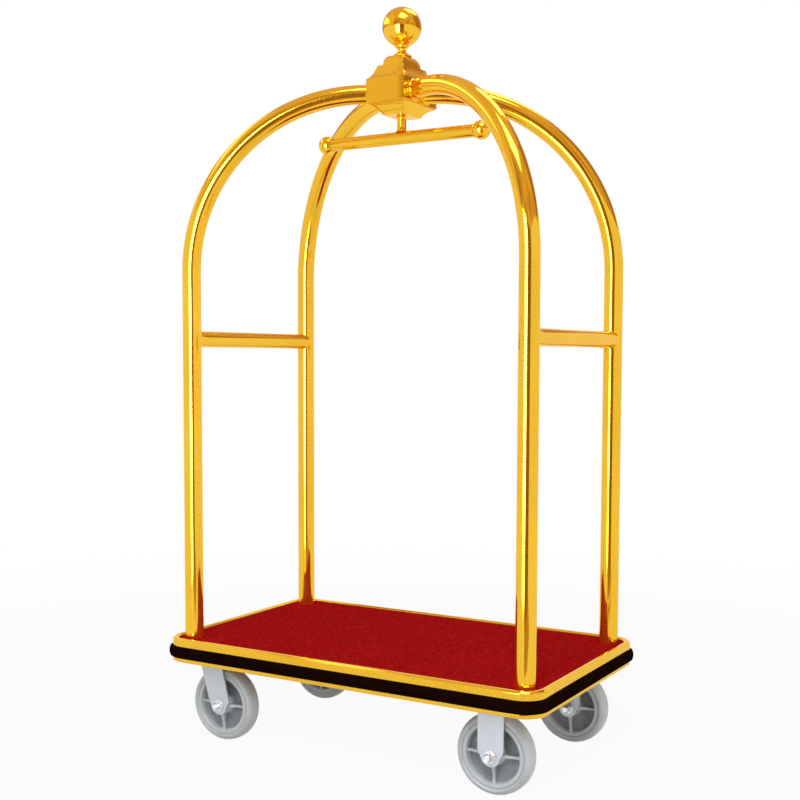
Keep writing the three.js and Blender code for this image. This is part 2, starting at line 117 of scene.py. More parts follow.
# =====================================================================================================
# materials
# =====================================================================================================
class Nodes:
    """A small builder for one material's node tree."""

    def __init__(self, name):
        self.m = bpy.data.materials.new(name)
        self.m.use_nodes = True
        self.t = self.m.node_tree
        self.t.nodes.clear()
        self.out = self.t.nodes.new("ShaderNodeOutputMaterial")
        self.p = self.t.nodes.new("ShaderNodeBsdfPrincipled")
        self.link(self.p.outputs["BSDF"], self.out.inputs["Surface"])

    def link(self, a, b):
        self.t.links.new(a, b)

    def set(self, **k):
        for name, v in k.items():
            self.p.inputs[name.replace("_", " ")].default_value = v
        return self

    def coords(self, scale=(1, 1, 1), rot=(0, 0, 0), kind="Object"):
        c = self.t.nodes.new("ShaderNodeTexCoord")
        m = self.t.nodes.new("ShaderNodeMapping")
        m.inputs["Scale"].default_value = scale
        m.inputs["Rotation"].default_value = rot
        self.link(c.outputs[kind], m.inputs["Vector"])
        return m.outputs["Vector"]

    def noise(self, scale, detail=3, rough=0.55, vec=None, distortion=0.0):
        n = self.t.nodes.new("ShaderNodeTexNoise")
        n.inputs["Scale"].default_value = scale
        n.inputs["Detail"].default_value = detail
        n.inputs["Roughness"].default_value = rough
        n.inputs["Distortion"].default_value = distortion
        self.link(vec if vec is not None else self.coords(), n.inputs["Vector"])
        return n.outputs["Fac"]

    def voronoi(self, scale, vec=None, feature="F1", out="Distance"):
        n = self.t.nodes.new("ShaderNodeTexVoronoi")
        n.feature = feature
        n.inputs["Scale"].default_value = scale
        self.link(vec if vec is not None else self.coords(), n.inputs["Vector"])
        return n.outputs[out]

    def wave(self, scale, vec, distortion=0.0, detail=2, direction="X", profile="SIN"):
        n = self.t.nodes.new("ShaderNodeTexWave")
        n.bands_direction = direction
        n.wave_profile = profile
        n.inputs["Scale"].default_value = scale
        n.inputs["Distortion"].default_value = distortion
        n.inputs["Detail"].default_value = detail
        self.link(vec, n.inputs["Vector"])
        return n.outputs["Fac"]

    def ramp(self, fac, stops):
        r = self.t.nodes.new("ShaderNodeValToRGB")
        e = r.color_ramp.elements
        while len(e) < len(stops):
            e.new(0.5)
        for el, (pos, col) in zip(e, stops):
            el.position = pos
            el.color = (*col, 1) if len(col) == 3 else col
        self.link(fac, r.inputs["Fac"])
        return r.outputs["Color"]

    def mix(self, fac, a, b, blend="MIX"):
        m = self.t.nodes.new("ShaderNodeMix")
        m.data_type = "RGBA"
        m.blend_type = blend
        for value, key in ((fac, "Factor"), (a, "A"), (b, "B")):
            s = [i for i in m.inputs if i.name == key and i.type == ("VALUE" if key == "Factor" else "RGBA")][0]
            if isinstance(value, bpy.types.NodeSocket):
                self.link(value, s)
            else:
                s.default_value = value if key == "Factor" else (*value, 1)
        return [o for o in m.outputs if o.type == "RGBA"][0]

    def math(self, op, a, b=0.0, c=0.0, clamp=False):
        m = self.t.nodes.new("ShaderNodeMath")
        m.operation = op
        m.use_clamp = clamp
        for i, v in enumerate((a, b, c)):
            if isinstance(v, bpy.types.NodeSocket):
                self.link(v, m.inputs[i])
            else:
                m.inputs[i].default_value = v
        return m.outputs[0]

    def remap(self, v, lo, hi, a, b):
        m = self.t.nodes.new("ShaderNodeMapRange")
        m.inputs["From Min"].default_value = lo
        m.inputs["From Max"].default_value = hi
        m.inputs["To Min"].default_value = a
        m.inputs["To Max"].default_value = b
        self.link(v, m.inputs["Value"])
        return m.outputs["Result"]

    def bump(self, height, strength, distance, after=None):
        b = self.t.nodes.new("ShaderNodeBump")
        b.inputs["Strength"].default_value = strength
        b.inputs["Distance"].default_value = distance
        self.link(height, b.inputs["Height"])
        if after is not None:
            self.link(after, b.inputs["Normal"])
        return b.outputs["Normal"]

    def base(self, sock):
        self.link(sock, self.p.inputs["Base Color"])
        return self

    def rough(self, sock):
        self.link(sock, self.p.inputs["Roughness"])
        return self

    def normal(self, sock):
        self.link(sock, self.p.inputs["Normal"])
        return self


def gold_material(name, streak=(1, 1, 1), tone=1.0, grain=0.008, wavy=0.045, speckle=0.16, fine=330):
    """Lacquered titanium-gold plate: slow colour drift, hand smears, fine polishing lines and a little orange peel."""
    n = Nodes(name).set(Metallic=0.92, Coat_Weight=0.42, Coat_Roughness=0.05)
    n.p.inputs["Specular Tint"].default_value = (1.0, 0.80, 0.34, 1)
    drift = n.noise(3.2, 3, 0.5)
    col = n.ramp(drift, [(0.30, (0.855 * tone, 0.480 * tone, 0.014)), (0.52, (0.900 * tone, 0.520 * tone, 0.018)), (0.74, (0.935 * tone, 0.555 * tone, 0.026))])
    speck = n.noise(fine, 2, 0.6)
    col = n.mix(n.remap(speck, 0.30, 0.52, speckle, 0.0), col, (0.680 * tone, 0.290 * tone, 0.006))
    n.base(col)
    lines = n.noise(1.0, 3, 0.6, n.coords(streak))
    smear = n.noise(11.0, 4, 0.62, distortion=0.6)
    r = n.math("ADD", n.remap(lines, 0.3, 0.7, 0.060, 0.115), n.remap(smear, 0.52, 0.80, 0.0, 0.065))
    n.rough(r)
    peel = n.noise(260, 2, 0.5)
    wobble = n.noise(13, 2, 0.5)
    n.normal(n.bump(peel, grain, 0.0008, n.bump(wobble, wavy, 0.0012)))
    return n.m


GOLD_TUBE = gold_material("gold_tube", (420, 420, 9))
GOLD_BAR = gold_material("gold_bar", (420, 9, 420), 1.0, 0.02, 0.05, 0.26)
GOLD_RAIL = gold_material("gold_rail", (9, 420, 420))
GOLD_CAST = gold_material("gold_cast", (160, 160, 160), 1.04)
GOLD_RIM = gold_material("gold_rim", (30, 30, 500), 0.97, 0.04, 0.09, 0.46, 240)


def carpet_material():
    """Short red cut pile: tufts of slightly different reds, dark gaps and a few ochre fibres."""
    n = Nodes("carpet_pile").set(Roughness=0.97, Sheen_Weight=0.03, Sheen_Roughness=0.5, Specular_IOR_Level=0.0)
    n.p.inputs["Sheen Tint"].default_value = (0.80, 0.05, 0.03, 1)
    tuft = n.noise(430, 2, 0.6)
    clump = n.noise(150, 3, 0.65)
    patch = n.noise(9, 4, 0.6)
    red = n.ramp(tuft, [(0.28, (0.170, 0.0034, 0.0044)), (0.45, (0.450, 0.0066, 0.0088)), (0.62, (0.545, 0.0078, 0.0104)), (0.80, (0.630, 0.0130, 0.0136))])
    red = n.mix(n.remap(clump, 0.34, 0.52, 0.42, 0.0), red, (0.210, 0.0040, 0.0046))
    red = n.mix(n.remap(clump, 0.54, 0.72, 0.0, 0.35), red, (0.600, 0.0150, 0.0110))
    red = n.mix(n.remap(patch, 0.35, 0.70, 0.0, 0.25), red, (0.360, 0.0056, 0.0066))
    sep = n.t.nodes.new("ShaderNodeSeparateColor")
    n.link(n.voronoi(230, out="Color"), sep.inputs["Color"])
    dark = n.math("GREATER_THAN", sep.outputs["Red"], 0.90)
    ochre = n.math("GREATER_THAN", sep.outputs["Green"], 0.955)
    red = n.mix(n.math("MULTIPLY", dark, 0.55), red, (0.095, 0.0035, 0.0030))
    red = n.mix(n.math("MULTIPLY", ochre, 0.42), red, (0.330, 0.070, 0.014))
    n.base(red)
    n.normal(n.bump(n.noise(520, 2, 0.7), 0.60, 0.0014))
    return n.m


def rubber_material():
    n = Nodes("bumper_rubber").set(Specular_IOR_Level=0.0)
    cloud = n.noise(14, 4, 0.6)
    scuff = n.noise(60, 5, 0.7, n.coords((1, 1, 4)))
    col = n.ramp(cloud, [(0.30, (0.0074, 0.0024, 0.0014)), (0.70, (0.0120, 0.0042, 0.0026))])
    col = n.mix(n.remap(scuff, 0.64, 0.82, 0.0, 0.5), col, (0.022, 0.013, 0.010))
    n.base(col)
    n.rough(n.math("ADD", n.remap(cloud, 0.3, 0.7, 0.46, 0.58), n.remap(scuff, 0.6, 0.8, 0.0, 0.15)))
    lines = n.noise(1.0, 2, 0.5, n.coords((6, 6, 1500)))
    n.normal(n.bump(lines, 0.10, 0.0003, n.bump(n.noise(1100, 2, 0.6), 0.12, 0.0003)))
    return n.m


def tyre_material():
    n = Nodes("tyre_grey_rubber").set(Specular_IOR_Level=0.5, Coat_Weight=0.10, Coat_Roughness=0.32)
    cloud = n.noise(16, 4, 0.6)
    grime = n.noise(95, 5, 0.72)
    col = n.ramp(cloud, [(0.28, (0.560, 0.590, 0.600)), (0.72, (0.645, 0.678, 0.688))])
    col = n.mix(n.remap(grime, 0.60, 0.82, 0.0, 0.40), col, (0.400, 0.392, 0.372))
    n.base(col)
    n.rough(n.math("ADD", n.remap(cloud, 0.3, 0.7, 0.34, 0.46), n.remap(grime, 0.58, 0.8, 0.0, 0.2)))
    n.normal(n.bump(n.noise(1300, 2, 0.6), 0.10, 0.0003, n.bump(n.noise(55, 3, 0.6), 0.07, 0.0008)))
    return n.m


def hub_material():
    """Grey moulded nylon with random floor dust; painted shade darkens the hollow between the ribs."""
    n = Nodes("hub_grey_plastic").set(Specular_IOR_Level=0.45)
    cloud = n.noise(24, 4, 0.6)
    dust = n.noise(140, 5, 0.7)
    col = n.ramp(cloud, [(0.3, (0.640, 0.675, 0.690)), (0.7, (0.715, 0.745, 0.755))])
    col = n.mix(n.remap(dust, 0.62, 0.84, 0.0, 0.35), col, (0.400, 0.392, 0.375))
    # painted shade: a baked per-point value darkens the hollow between the ribs to dark grey, in place of the shadow
    # the ring and ribs cast
    at = n.t.nodes.new("ShaderNodeAttribute")
    at.attribute_name = "recess"
    painted_shade_fac = n.math("MULTIPLY", at.outputs["Fac"], n.remap(n.noise(38, 4, 0.6), 0.3, 0.7, 0.80, 1.0))
    col = n.mix(painted_shade_fac, col, (0.215, 0.228, 0.234))
    n.base(col)
    n.rough(n.math("ADD", n.remap(cloud, 0.3, 0.7, 0.33, 0.44), n.math("ADD", n.remap(dust, 0.6, 0.8, 0.0, 0.18), n.math("MULTIPLY", painted_shade_fac, 0.18))))
    n.normal(n.bump(n.noise(1500, 2, 0.6), 0.09, 0.00025))
    return n.m


def zinc_material():
    """Bluish zinc plate on pressed steel: faint spangle, rolling lines and handling marks."""
    n = Nodes("zinc_plate").set(Metallic=0.60, Specular_IOR_Level=0.4)
    cell = n.voronoi(95, out="Color")
    sep = n.t.nodes.new("ShaderNodeSeparateColor")
    n.link(cell, sep.inputs["Color"])
    cloud = n.noise(13, 4, 0.6)
    col = n.ramp(cloud, [(0.28, (0.480, 0.518, 0.514)), (0.72, (0.560, 0.593, 0.578))])
    col = n.mix(n.remap(sep.outputs["Red"], 0.0, 1.0, 0.0, 0.12), col, (0.60, 0.63, 0.64))
    n.base(col)
    lines = n.noise(1.0, 3, 0.6, n.coords((700, 700, 12)))
    n.rough(n.math("ADD", n.remap(lines, 0.3, 0.7, 0.46, 0.56), n.remap(n.noise(45, 4, 0.65), 0.55, 0.8, 0.0, 0.10)))
    n.normal(n.bump(lines, 0.045, 0.0002, n.bump(n.noise(700, 2, 0.6), 0.10, 0.0003)))
    return n.m


def bright_material():
    n = Nodes("bright_zinc").set(Metallic=1.0)
    tint = n.noise(55, 3, 0.6)
    n.base(n.ramp(tint, [(0.28, (0.70, 0.73, 0.75)), (0.5, (0.82, 0.82, 0.78)), (0.72, (0.86, 0.83, 0.74))]))
    n.rough(n.remap(n.noise(260, 3, 0.6), 0.3, 0.7, 0.27, 0.38))
    n.normal(n.bump(n.noise(1700, 2, 0.6), 0.05, 0.0002))
    return n.m


def nylon_material():
    n = Nodes("nylon_ring").set(Specular_IOR_Level=0.5)
    n.base(n.ramp(n.noise(400, 2, 0.5), [(0.3, (0.012, 0.026, 0.075)), (0.7, (0.022, 0.044, 0.115))]))
    n.rough(n.remap(n.noise(300, 2, 0.5), 0.3, 0.7, 0.30, 0.42))
    return n.m


def wood_material():
    n = Nodes("plywood").set(Specular_IOR_Level=0.25)
    grain = n.noise(1.0, 6, 0.62, n.coords((5, 90, 40)), distortion=0.35)
    broad = n.noise(1.0, 3, 0.5, n.coords((1.2, 9, 6)), distortion=1.2)
    col = n.ramp(grain, [(0.30, (0.235, 0.135, 0.060)), (0.50, (0.400, 0.258, 0.135)), (0.72, (0.520, 0.370, 0.215))])
    col = n.mix(n.remap(broad, 0.35, 0.65, 0.0, 0.55), col, (0.315, 0.192, 0.092))
    n.base(col)
    n.rough(n.remap(grain, 0.3, 0.7, 0.62, 0.80))
    n.normal(n.bump(grain, 0.25, 0.0006))
    return n.m


def powder_material():
    n = Nodes("black_powder_coat").set(Specular_IOR_Level=0.5)
    n.base(n.ramp(n.noise(30, 4, 0.6), [(0.3, (0.016, 0.016, 0.017)), (0.7, (0.030, 0.030, 0.031))]))
    n.rough(n.remap(n.noise(70, 4, 0.6), 0.3, 0.7, 0.36, 0.50))
    n.normal(n.bump(n.noise(420, 2, 0.5), 0.30, 0.0004))
    return n.m


CARPET, RUBBER, TYRE, HUB = carpet_material(), rubber_material(), tyre_material(), hub_material()
ZINC, BRIGHT, NYLON, WOOD, POWDER = zinc_material(), bright_material(), nylon_material(), wood_material(), powder_material()


# =====================================================================================================
# mesh helpers (millimetres in, metres out)
# =====================================================================================================
def new_object(name, verts, faces, material, smooth=35):
    me = bpy.data.meshes.new(name)
    v = np.asarray(verts, float).reshape(-1, 3) * MM
    me.from_pydata(v.tolist(), [], [list(map(int, f)) for f in faces])
    me.validate(clean_customdata=False)
    bm = bmesh.new()
    bm.from_mesh(me)
    bmesh.ops.remove_doubles(bm, verts=bm.verts, dist=1e-7)
    bmesh.ops.recalc_face_normals(bm, faces=bm.faces)
    bm.to_mesh(me)
    bm.free()
    if smooth is not None:
        me.shade_smooth()
        me.set_sharp_from_angle(angle=math.radians(smooth))
    me.materials.append(material)
    o = bpy.data.objects.new(name, me)
    bpy.context.scene.collection.objects.link(o)
    return o


def keep(o, body, slot, *nodes):
    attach(o, body)
    if nodes:
        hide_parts(*nodes)
    return o


def tube(name, points, tangents, radius, material, n=48, side=None, radii=None):
    """A round bar swept along points; flat ends."""
    verts, faces = [], []
    side = Vector(side).normalized()
    for i, (p, t) in enumerate(zip(points, tangents)):
        p, t = Vector(p), Vector(t).normalized()
        a = (side - side.dot(t) * t).normalized()
        b = t.cross(a)
        r = radius if radii is None else radii[i]
        for k in range(n):
            w = 2 * math.pi * k / n
            verts.append(p + (a * math.cos(w) + b * math.sin(w)) * r)
    m = len(points)
    for i in range(m - 1):
        for k in range(n):
            faces.append([i * n + k, i * n + (k + 1) % n, (i + 1) * n + (k + 1) % n, (i + 1) * n + k])
    faces.append([k for k in range(n)][::-1])
    faces.append([(m - 1) * n + k for k in range(n)])
    return new_object(name, [tuple(v) for v in verts], faces, material)


def lathe(name, profile, material, n=64, axis="Z", at=(0, 0, 0), smooth=35, closed=False):
    """A turned piece: profile of (radius, height) along the axis. Points on the axis close the ends."""
    prof = list(profile)
    verts, rows = [], []
    for r, h in prof:
        if r < 1e-6:
            rows.append([len(verts)])
            verts.append((0, 0, h))
        else:
            rows.append(list(range(len(verts), len(verts) + n)))
            verts += [(r * math.cos(2 * math.pi * k / n), r * math.sin(2 * math.pi * k / n), h) for k in range(n)]
    faces = []
    pairs = list(zip(rows, rows[1:])) + ([(rows[-1], rows[0])] if closed else [])
    for a, b in pairs:
        for k in range(n):
            k2 = (k + 1) % n
            if len(a) == 1 and len(b) == 1:
                continue
            if len(a) == 1:
                faces.append([a[0], b[k], b[k2]])
            elif len(b) == 1:
                faces.append([a[k], a[k2], b[0]])
            else:
                faces.append([a[k], a[k2], b[k2], b[k]])
    v = np.array(verts, float)
    if axis == "Y":
        v = np.stack([v[:, 0], v[:, 2], -v[:, 1]], 1)
    elif axis == "X":
        v = np.stack([v[:, 2], v[:, 1], -v[:, 0]], 1)
    v += np.array(at, float)
    return new_object(name, v, faces, material, smooth)


def smooth_profile(points, per=4):
    """Catmull-Rom through the points; a point given as (r, z, 'c') is a hard corner."""
    p = [np.array(q[:2], float) for q in points]
    hard = [len(q) > 2 for q in points]
    out = [tuple(p[0])]
    for i in range(len(p) - 1):
        a = p[i - 1] if i > 0 and not hard[i] else p[i]
        d = p[i + 2] if i + 2 < len(p) and not hard[i + 1] else p[i + 1]
        b, c = p[i], p[i + 1]
        for k in range(1, per + 1):
            t = k / per
            q = 0.5 * ((2 * b) + (c - a) * t + (2 * a - 5 * b + 4 * c - d) * t * t + (3 * b - a - 3 * c + d) * t ** 3)
            out.append((max(0.0, float(q[0])), float(q[1])))
    return out


DECK_CX, DECK_CY = 505.0, 274.0


def deck_ring(name, section, material, n=14, straight=(24, 14), smooth=35):
    """A closed section of (offset, height) carried round the deck's rounded rectangle."""
    st = []
    for c, (sx, sy, a0) in enumerate([(1, 1, 0), (-1, 1, 90), (-1, -1, 180), (1, -1, 270)]):
        for i in range(n + 1):
            a = math.radians(a0 + 90 * i / n)
            st.append((sx * DECK_CX, sy * DECK_CY, math.cos(a), math.sin(a)))
        nx, ny, _ = [(-1, 1, 90), (-1, -1, 180), (1, -1, 270), (1, 1, 360)][c]
        steps = straight[0] if c in (0, 2) else straight[1]
        a = math.radians(a0 + 90)
        for i in range(1, steps):
            t = i / steps
            st.append((sx * DECK_CX * (1 - t) + nx * DECK_CX * t, sy * DECK_CY * (1 - t) + ny * DECK_CY * t, math.cos(a), math.sin(a)))
    N, M = len(section), len(st)
    verts = [(cx + o * c, cy + o * s, z) for cx, cy, c, s in st for o, z in section]
    faces = []
    for j in range(M):
        for i in range(N):
            a, b = j * N + i, j * N + (i + 1) % N
            c, d = ((j + 1) % M) * N + i, ((j + 1) % M) * N + (i + 1) % N
            faces.append([a, b, d, c])
    return new_object(name, verts, faces, material, smooth)


def rounded(points, radius, steps=3):
    """A closed polygon with its corners rounded; radius is one number or one for each point."""
    out, n = [], len(points)
    rad = radius if hasattr(radius, "__len__") else [radius] * n
    for i in range(n):
        p0, p1, p2 = (np.array(points[k % n], float) for k in (i - 1, i, i + 1))
        r = rad[i]
        if r <= 0:
            out.append(tuple(p1))
            continue
        d0, d2 = p0 - p1, p2 - p1
        l0, l2 = np.linalg.norm(d0), np.linalg.norm(d2)
        d0, d2 = d0 / l0, d2 / l2
        ang = math.acos(max(-1, min(1, float(d0 @ d2))))
        cut = min(r / math.tan(ang / 2), 0.48 * min(l0, l2))
        a, b = p1 + d0 * cut, p1 + d2 * cut
        for k in range(steps + 1):
            t = k / steps
            out.append(tuple((1 - t) ** 2 * a + 2 * t * (1 - t) * p1 + t * t * b))
    return out


def prism(name, outline, lo, hi, axis, material, bevel=0.6, holes=(), smooth=30):
    """An outline of (u, v) made solid between lo and hi along the axis; the bevel argument is not used, so the long
    edges stay sharp.
    axis Y: u is x, v is z. axis Z: u is x, v is y. axis X: u is y, v is z."""
    bm = bmesh.new()

    def put(u, v, w):
        return {"Y": (u, w, v), "Z": (u, v, w), "X": (w, u, v)}[axis]

    loop = [bm.verts.new([c * MM for c in put(u, v, lo)]) for u, v in outline]
    f = bm.faces.new(loop)
    ext = bmesh.ops.extrude_face_region(bm, geom=[f])
    moved = [g for g in ext["geom"] if isinstance(g, bmesh.types.BMVert)]
    d = Vector(put(0, 0, hi - lo)) * MM
    bmesh.ops.translate(bm, verts=moved, vec=d)
    bmesh.ops.recalc_face_normals(bm, faces=bm.faces)
    me = bpy.data.meshes.new(name)
    bm.to_mesh(me)
    bm.free()
    me.materials.append(material)
    o = bpy.data.objects.new(name, me)
    bpy.context.scene.collection.objects.link(o)
    return o


def boolean(o, other, op, drop=True):
    m = o.modifiers.new("b", "BOOLEAN")
    m.operation, m.solver, m.object = op, "EXACT", other
    apply_modifiers(o)
    if drop:
        me = other.data
        bpy.data.objects.remove(other)
        bpy.data.meshes.remove(me)
    return o


def apply_modifiers(o):
    dg = bpy.context.evaluated_depsgraph_get()
    me = bpy.data.meshes.new_from_object(o.evaluated_get(dg))
    old = o.data
    o.modifiers.clear()
    o.data = me
    me.name = o.name
    bpy.data.meshes.remove(old)


def bevel(o, width_mm, segments=2, angle=30, smooth=40):
    m = o.modifiers.new("bevel", "BEVEL")
    m.width, m.segments, m.limit_method, m.angle_limit = width_mm * MM, segments, "ANGLE", math.radians(angle)
    m.use_clamp_overlap = True
    apply_modifiers(o)
    o.data.shade_smooth()
    o.data.set_sharp_from_angle(angle=math.radians(smooth))
    w = o.modifiers.new("flat faces stay flat", "WEIGHTED_NORMAL")
    w.keep_sharp, w.weight = True, 100
    apply_modifiers(o)
    return o


def copy_of(o, name, offset=(0, 0, 0), mirror_y=False):
    me = o.data.copy()
    me.name = name
    if mirror_y:
        me.transform(Matrix.Diagonal((1, -1, 1, 1)))
        me.flip_normals()
    me.transform(Matrix.Translation(Vector(offset) * MM))
    c = bpy.data.objects.new(name, me)
    bpy.context.scene.collection.objects.link(c)
    return c


def hexagon(name, radius, h0, h1, material, axis="Z", at=(0, 0, 0), turn=0.0, bore=0.0, chamfer=(True, True)):
    """A hexagonal nut or bolt head with the turned chamfer that rounds off its corners."""
    n = 96
    flat = radius * math.cos(math.pi / 6)
    r0 = flat * 0.985
    verts, faces, rows = [], [], []

    def edge(k):
        w = 2 * math.pi * k / n
        return flat / math.cos(((w + math.pi / 6) % (math.pi / 3)) - math.pi / 6)

    def ring(fr, fz):
        row = []
        for k in range(n):
            w = 2 * math.pi * k / n + turn
            r = fr(k)
            row.append(len(verts))
            verts.append((r * math.cos(w), r * math.sin(w), fz(k, r)))
        rows.append(row)

    t = 0.55
    if bore > 0:
        ring(lambda k: bore, lambda k, r: h0)
    else:
        rows.append([len(verts)])
        verts.append((0, 0, h0))
    ring(lambda k: r0, lambda k, r: h0)
    ring(edge, lambda k, r: h0 + ((r - r0) * t if chamfer[0] else 0.02))
    ring(edge, lambda k, r: h1 - ((r - r0) * t if chamfer[1] else 0.02))
    ring(lambda k: r0, lambda k, r: h1)
    if bore > 0:
        ring(lambda k: bore, lambda k, r: h1)
    else:
        rows.append([len(verts)])
        verts.append((0, 0, h1))
    pairs = list(zip(rows, rows[1:])) + ([(rows[-1], rows[0])] if bore > 0 else [])
    for a, b in pairs:
        for k in range(n):
            k2 = (k + 1) % n
            if len(a) == 1:
                faces.append([a[0], b[k], b[k2]])
            elif len(b) == 1:
                faces.append([a[k], a[k2], b[0]])
            else:
                faces.append([a[k], a[k2], b[k2], b[k]])
    v = np.array(verts, float)
    if axis == "Y":
        v = np.stack([v[:, 0], v[:, 2], -v[:, 1]], 1)
    v += np.array(at, float)
    return new_object(name, v, faces, material, 28)


def joined(name, objs):
    """Several separate closed shells as one piece."""
    bm = bmesh.new()
    mats = []
    for o in objs:
        off = len(mats)
        me = o.data.copy()
        idx = []
        for m in me.materials:
            if m not in mats:
                mats.append(m)
            idx.append(mats.index(m))
        for p in me.polygons:
            p.material_index = idx[p.material_index]
        bm.from_mesh(me)
        bpy.data.meshes.remove(me)
    me = bpy.data.meshes.new(name)
    bm.to_mesh(me)
    bm.free()
    for m in mats:
        me.materials.append(m)
    for o in objs:
        old = o.data
        bpy.data.objects.remove(o)
        bpy.data.meshes.remove(old)
    r = bpy.data.objects.new(name, me)
    bpy.context.scene.collection.objects.link(r)
    return r


# =====================================================================================================
# posts and arches
# =====================================================================================================
POSTS = [("front_left", -1, -1), ("rear_left", -1, 1), ("front_right", 1, -1), ("rear_right", 1, 1)]
POST_X, POST_Y, POST_R = 507.2, 272.1, 25.4
BEND_R, ARCH_TOP = 475.0, 1773.0
DIAG = math.hypot(POST_X, POST_Y)
BLOCK_X, BLOCK_Y, BLOCK_Z0, BLOCK_Z1 = 59.0, 88.0, 1742.0, 1804.0

for name, sx, sy in POSTS:
    d = Vector((-sx * POST_X, -sy * POST_Y, 0)).normalized()
    base = Vector((sx * POST_X, sy * POST_Y, 0))
    upv = Vector((0, 0, 1))
    pts, tan = [], []
    z0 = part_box("post_" + name)[0].z / MM
    for i in range(12):
        pts.append(base + upv * (z0 + (ARCH_TOP - BEND_R - z0) * i / 12)); tan.append(upv)
    for i in range(49):
        a = math.pi / 2 * i / 48
        pts.append(base + d * (BEND_R * (1 - math.cos(a))) + upv * (ARCH_TOP - BEND_R + BEND_R * math.sin(a)))
        tan.append(upv * math.cos(a) + d * math.sin(a))
    # the level run ends on the crown block's face, cut to its plane
    reach = (POST_X - BLOCK_X) / abs(d.x)
    pts.append(base + d * (reach - 14) + upv * ARCH_TOP); tan.append(d)
    pts.append(base + d * reach + upv * ARCH_TOP); tan.append(d)
    o = tube("post_tube_" + name, pts, tan, POST_R, GOLD_TUBE, n=56, side=(-d.y, d.x, 0))
    me = o.data
    for v in me.vertices:
        if v.co.z > 1.70 and abs(v.co.x) < (BLOCK_X + 16) * MM:
            # slide the last ring along the tube's line onto the block's plane
            along = Vector((d.x, d.y, 0))
            ring_mid = base + d * reach
            if abs((v.co / MM - ring_mid - upv * ARCH_TOP).dot(along)) < 0.5:
                v.co += along * ((sx * (BLOCK_X + 0.3) * MM - v.co.x) / along.x)
    keep(o, "root", "gold", "post_" + name)
    # a thin brazed fillet where the tube meets the crown block
    c = base + d * reach + upv * ARCH_TOP
    n = 56
    side, verts, faces = Vector((-d.y, d.x, 0)), [], []
    prof = [(POST_R - 0.4, 6.0), (POST_R + 0.25, 4.2), (POST_R + 0.9, 2.4), (POST_R + 2.3, 0.9), (POST_R + 3.4, 0.0), (POST_R - 0.4, 0.0)]
    for r, w in prof:
        for k in range(n):
            a = 2 * math.pi * k / n
            q = c + (side * math.cos(a) + upv * math.sin(a)) * r
            q = q + d * ((sx * (BLOCK_X + 0.05) - q.x) / d.x)
            q = q - d * w
            verts.append(tuple(q))
    for i in range(len(prof)):
        j = (i + 1) % len(prof)
        for k in range(n):
            faces.append([i * n + k, i * n + (k + 1) % n, j * n + (k + 1) % n, j * n + k])
    keep(new_object("crown_fillet_" + name, verts, faces, GOLD_CAST, 50), "root", "gold")

# =====================================================================================================
# push bars: saddle ends that follow the posts' surface
# =====================================================================================================
for name, sx in (("left", -1), ("right", 1)):
    c = centre("push_bar_" + name) / MM
    R, n = 22.25, 48
    rows, verts, faces = [], [], []
    stations = [(1.0, 1.6), (0.9925, 0.45), (0.984, 0.0), (0.90, 0.0), (0.7, 0.0), (0.5, 0.0), (0.3, 0.0), (0.1, 0.0)]
    spec = [(s, f) for s, f in stations] + [(-s, f) for s, f in stations[::-1]]
    for s, flare in spec:
        for k in range(n):
            a = 2 * math.pi * k / n
            r = R + flare
            dx, dz = r * math.cos(a), r * math.sin(a)
            end = POST_Y - math.sqrt(max(0.0, (POST_R - 0.2) ** 2 - min(dx * dx, (POST_R - 0.3) ** 2)))
            verts.append((c.x + dx, s * end, c.z + dz))
    m = len(spec)
    for i in range(m - 1):
        for k in range(n):
            faces.append([i * n + k, i * n + (k + 1) % n, (i + 1) * n + (k + 1) % n, (i + 1) * n + k])
    faces.append(list(range(n))[::-1])
    faces.append([(m - 1) * n + k for k in range(n)])
    keep(new_object("push_bar_tube_" + name, verts, faces, GOLD_BAR, 50), "root", "gold", "push_bar_" + name)

# =====================================================================================================
# crown
# =====================================================================================================
def rect_loft(name, levels, material, corner=1.1, smooth=24, caps=(True, True)):
    """Levels of (half x, half y, height): a mitred rectangular moulding with a fine arris on each corner."""
    verts, rows = [], []
    for hx, hy, z in levels:
        row = []
        cr = min(corner, 0.2 * hx)
        for sx, sy, a0 in ((1, 1, 0), (-1, 1, 90), (-1, -1, 180), (1, -1, 270)):
            for i in range(4):
                a = math.radians(a0 + 30 * i)
                row.append(len(verts))
                verts.append((sx * (hx - cr) + cr * math.cos(a), sy * (hy - cr) + cr * math.sin(a), z))
            nsx, nsy = {(1, 1): (-1, 1), (-1, 1): (-1, -1), (-1, -1): (1, -1), (1, -1): (1, 1)}[(sx, sy)]
            a = math.radians(a0 + 90)
            for t in (0.25, 0.5, 0.75):
                row.append(len(verts))
                verts.append((sx * (hx - cr) * (1 - t) + nsx * (hx - cr) * t + cr * math.cos(a), sy * (hy - cr) * (1 - t) + nsy * (hy - cr) * t + cr * math.sin(a), z))
        rows.append(row)
    n, faces = len(rows[0]), []
    for a, b in zip(rows, rows[1:]):
        for k in range(n):
            faces.append([a[k], a[(k + 1) % n], b[(k + 1) % n], b[k]])
    if caps[0]:
        faces.append(rows[0][::-1])
    if caps[1]:
        faces.append(rows[-1])
    return new_object(name, verts, faces, material, smooth)


def scaled(levels):
    return [(BLOCK_X * k, BLOCK_Y * k, z) for k, z in levels]


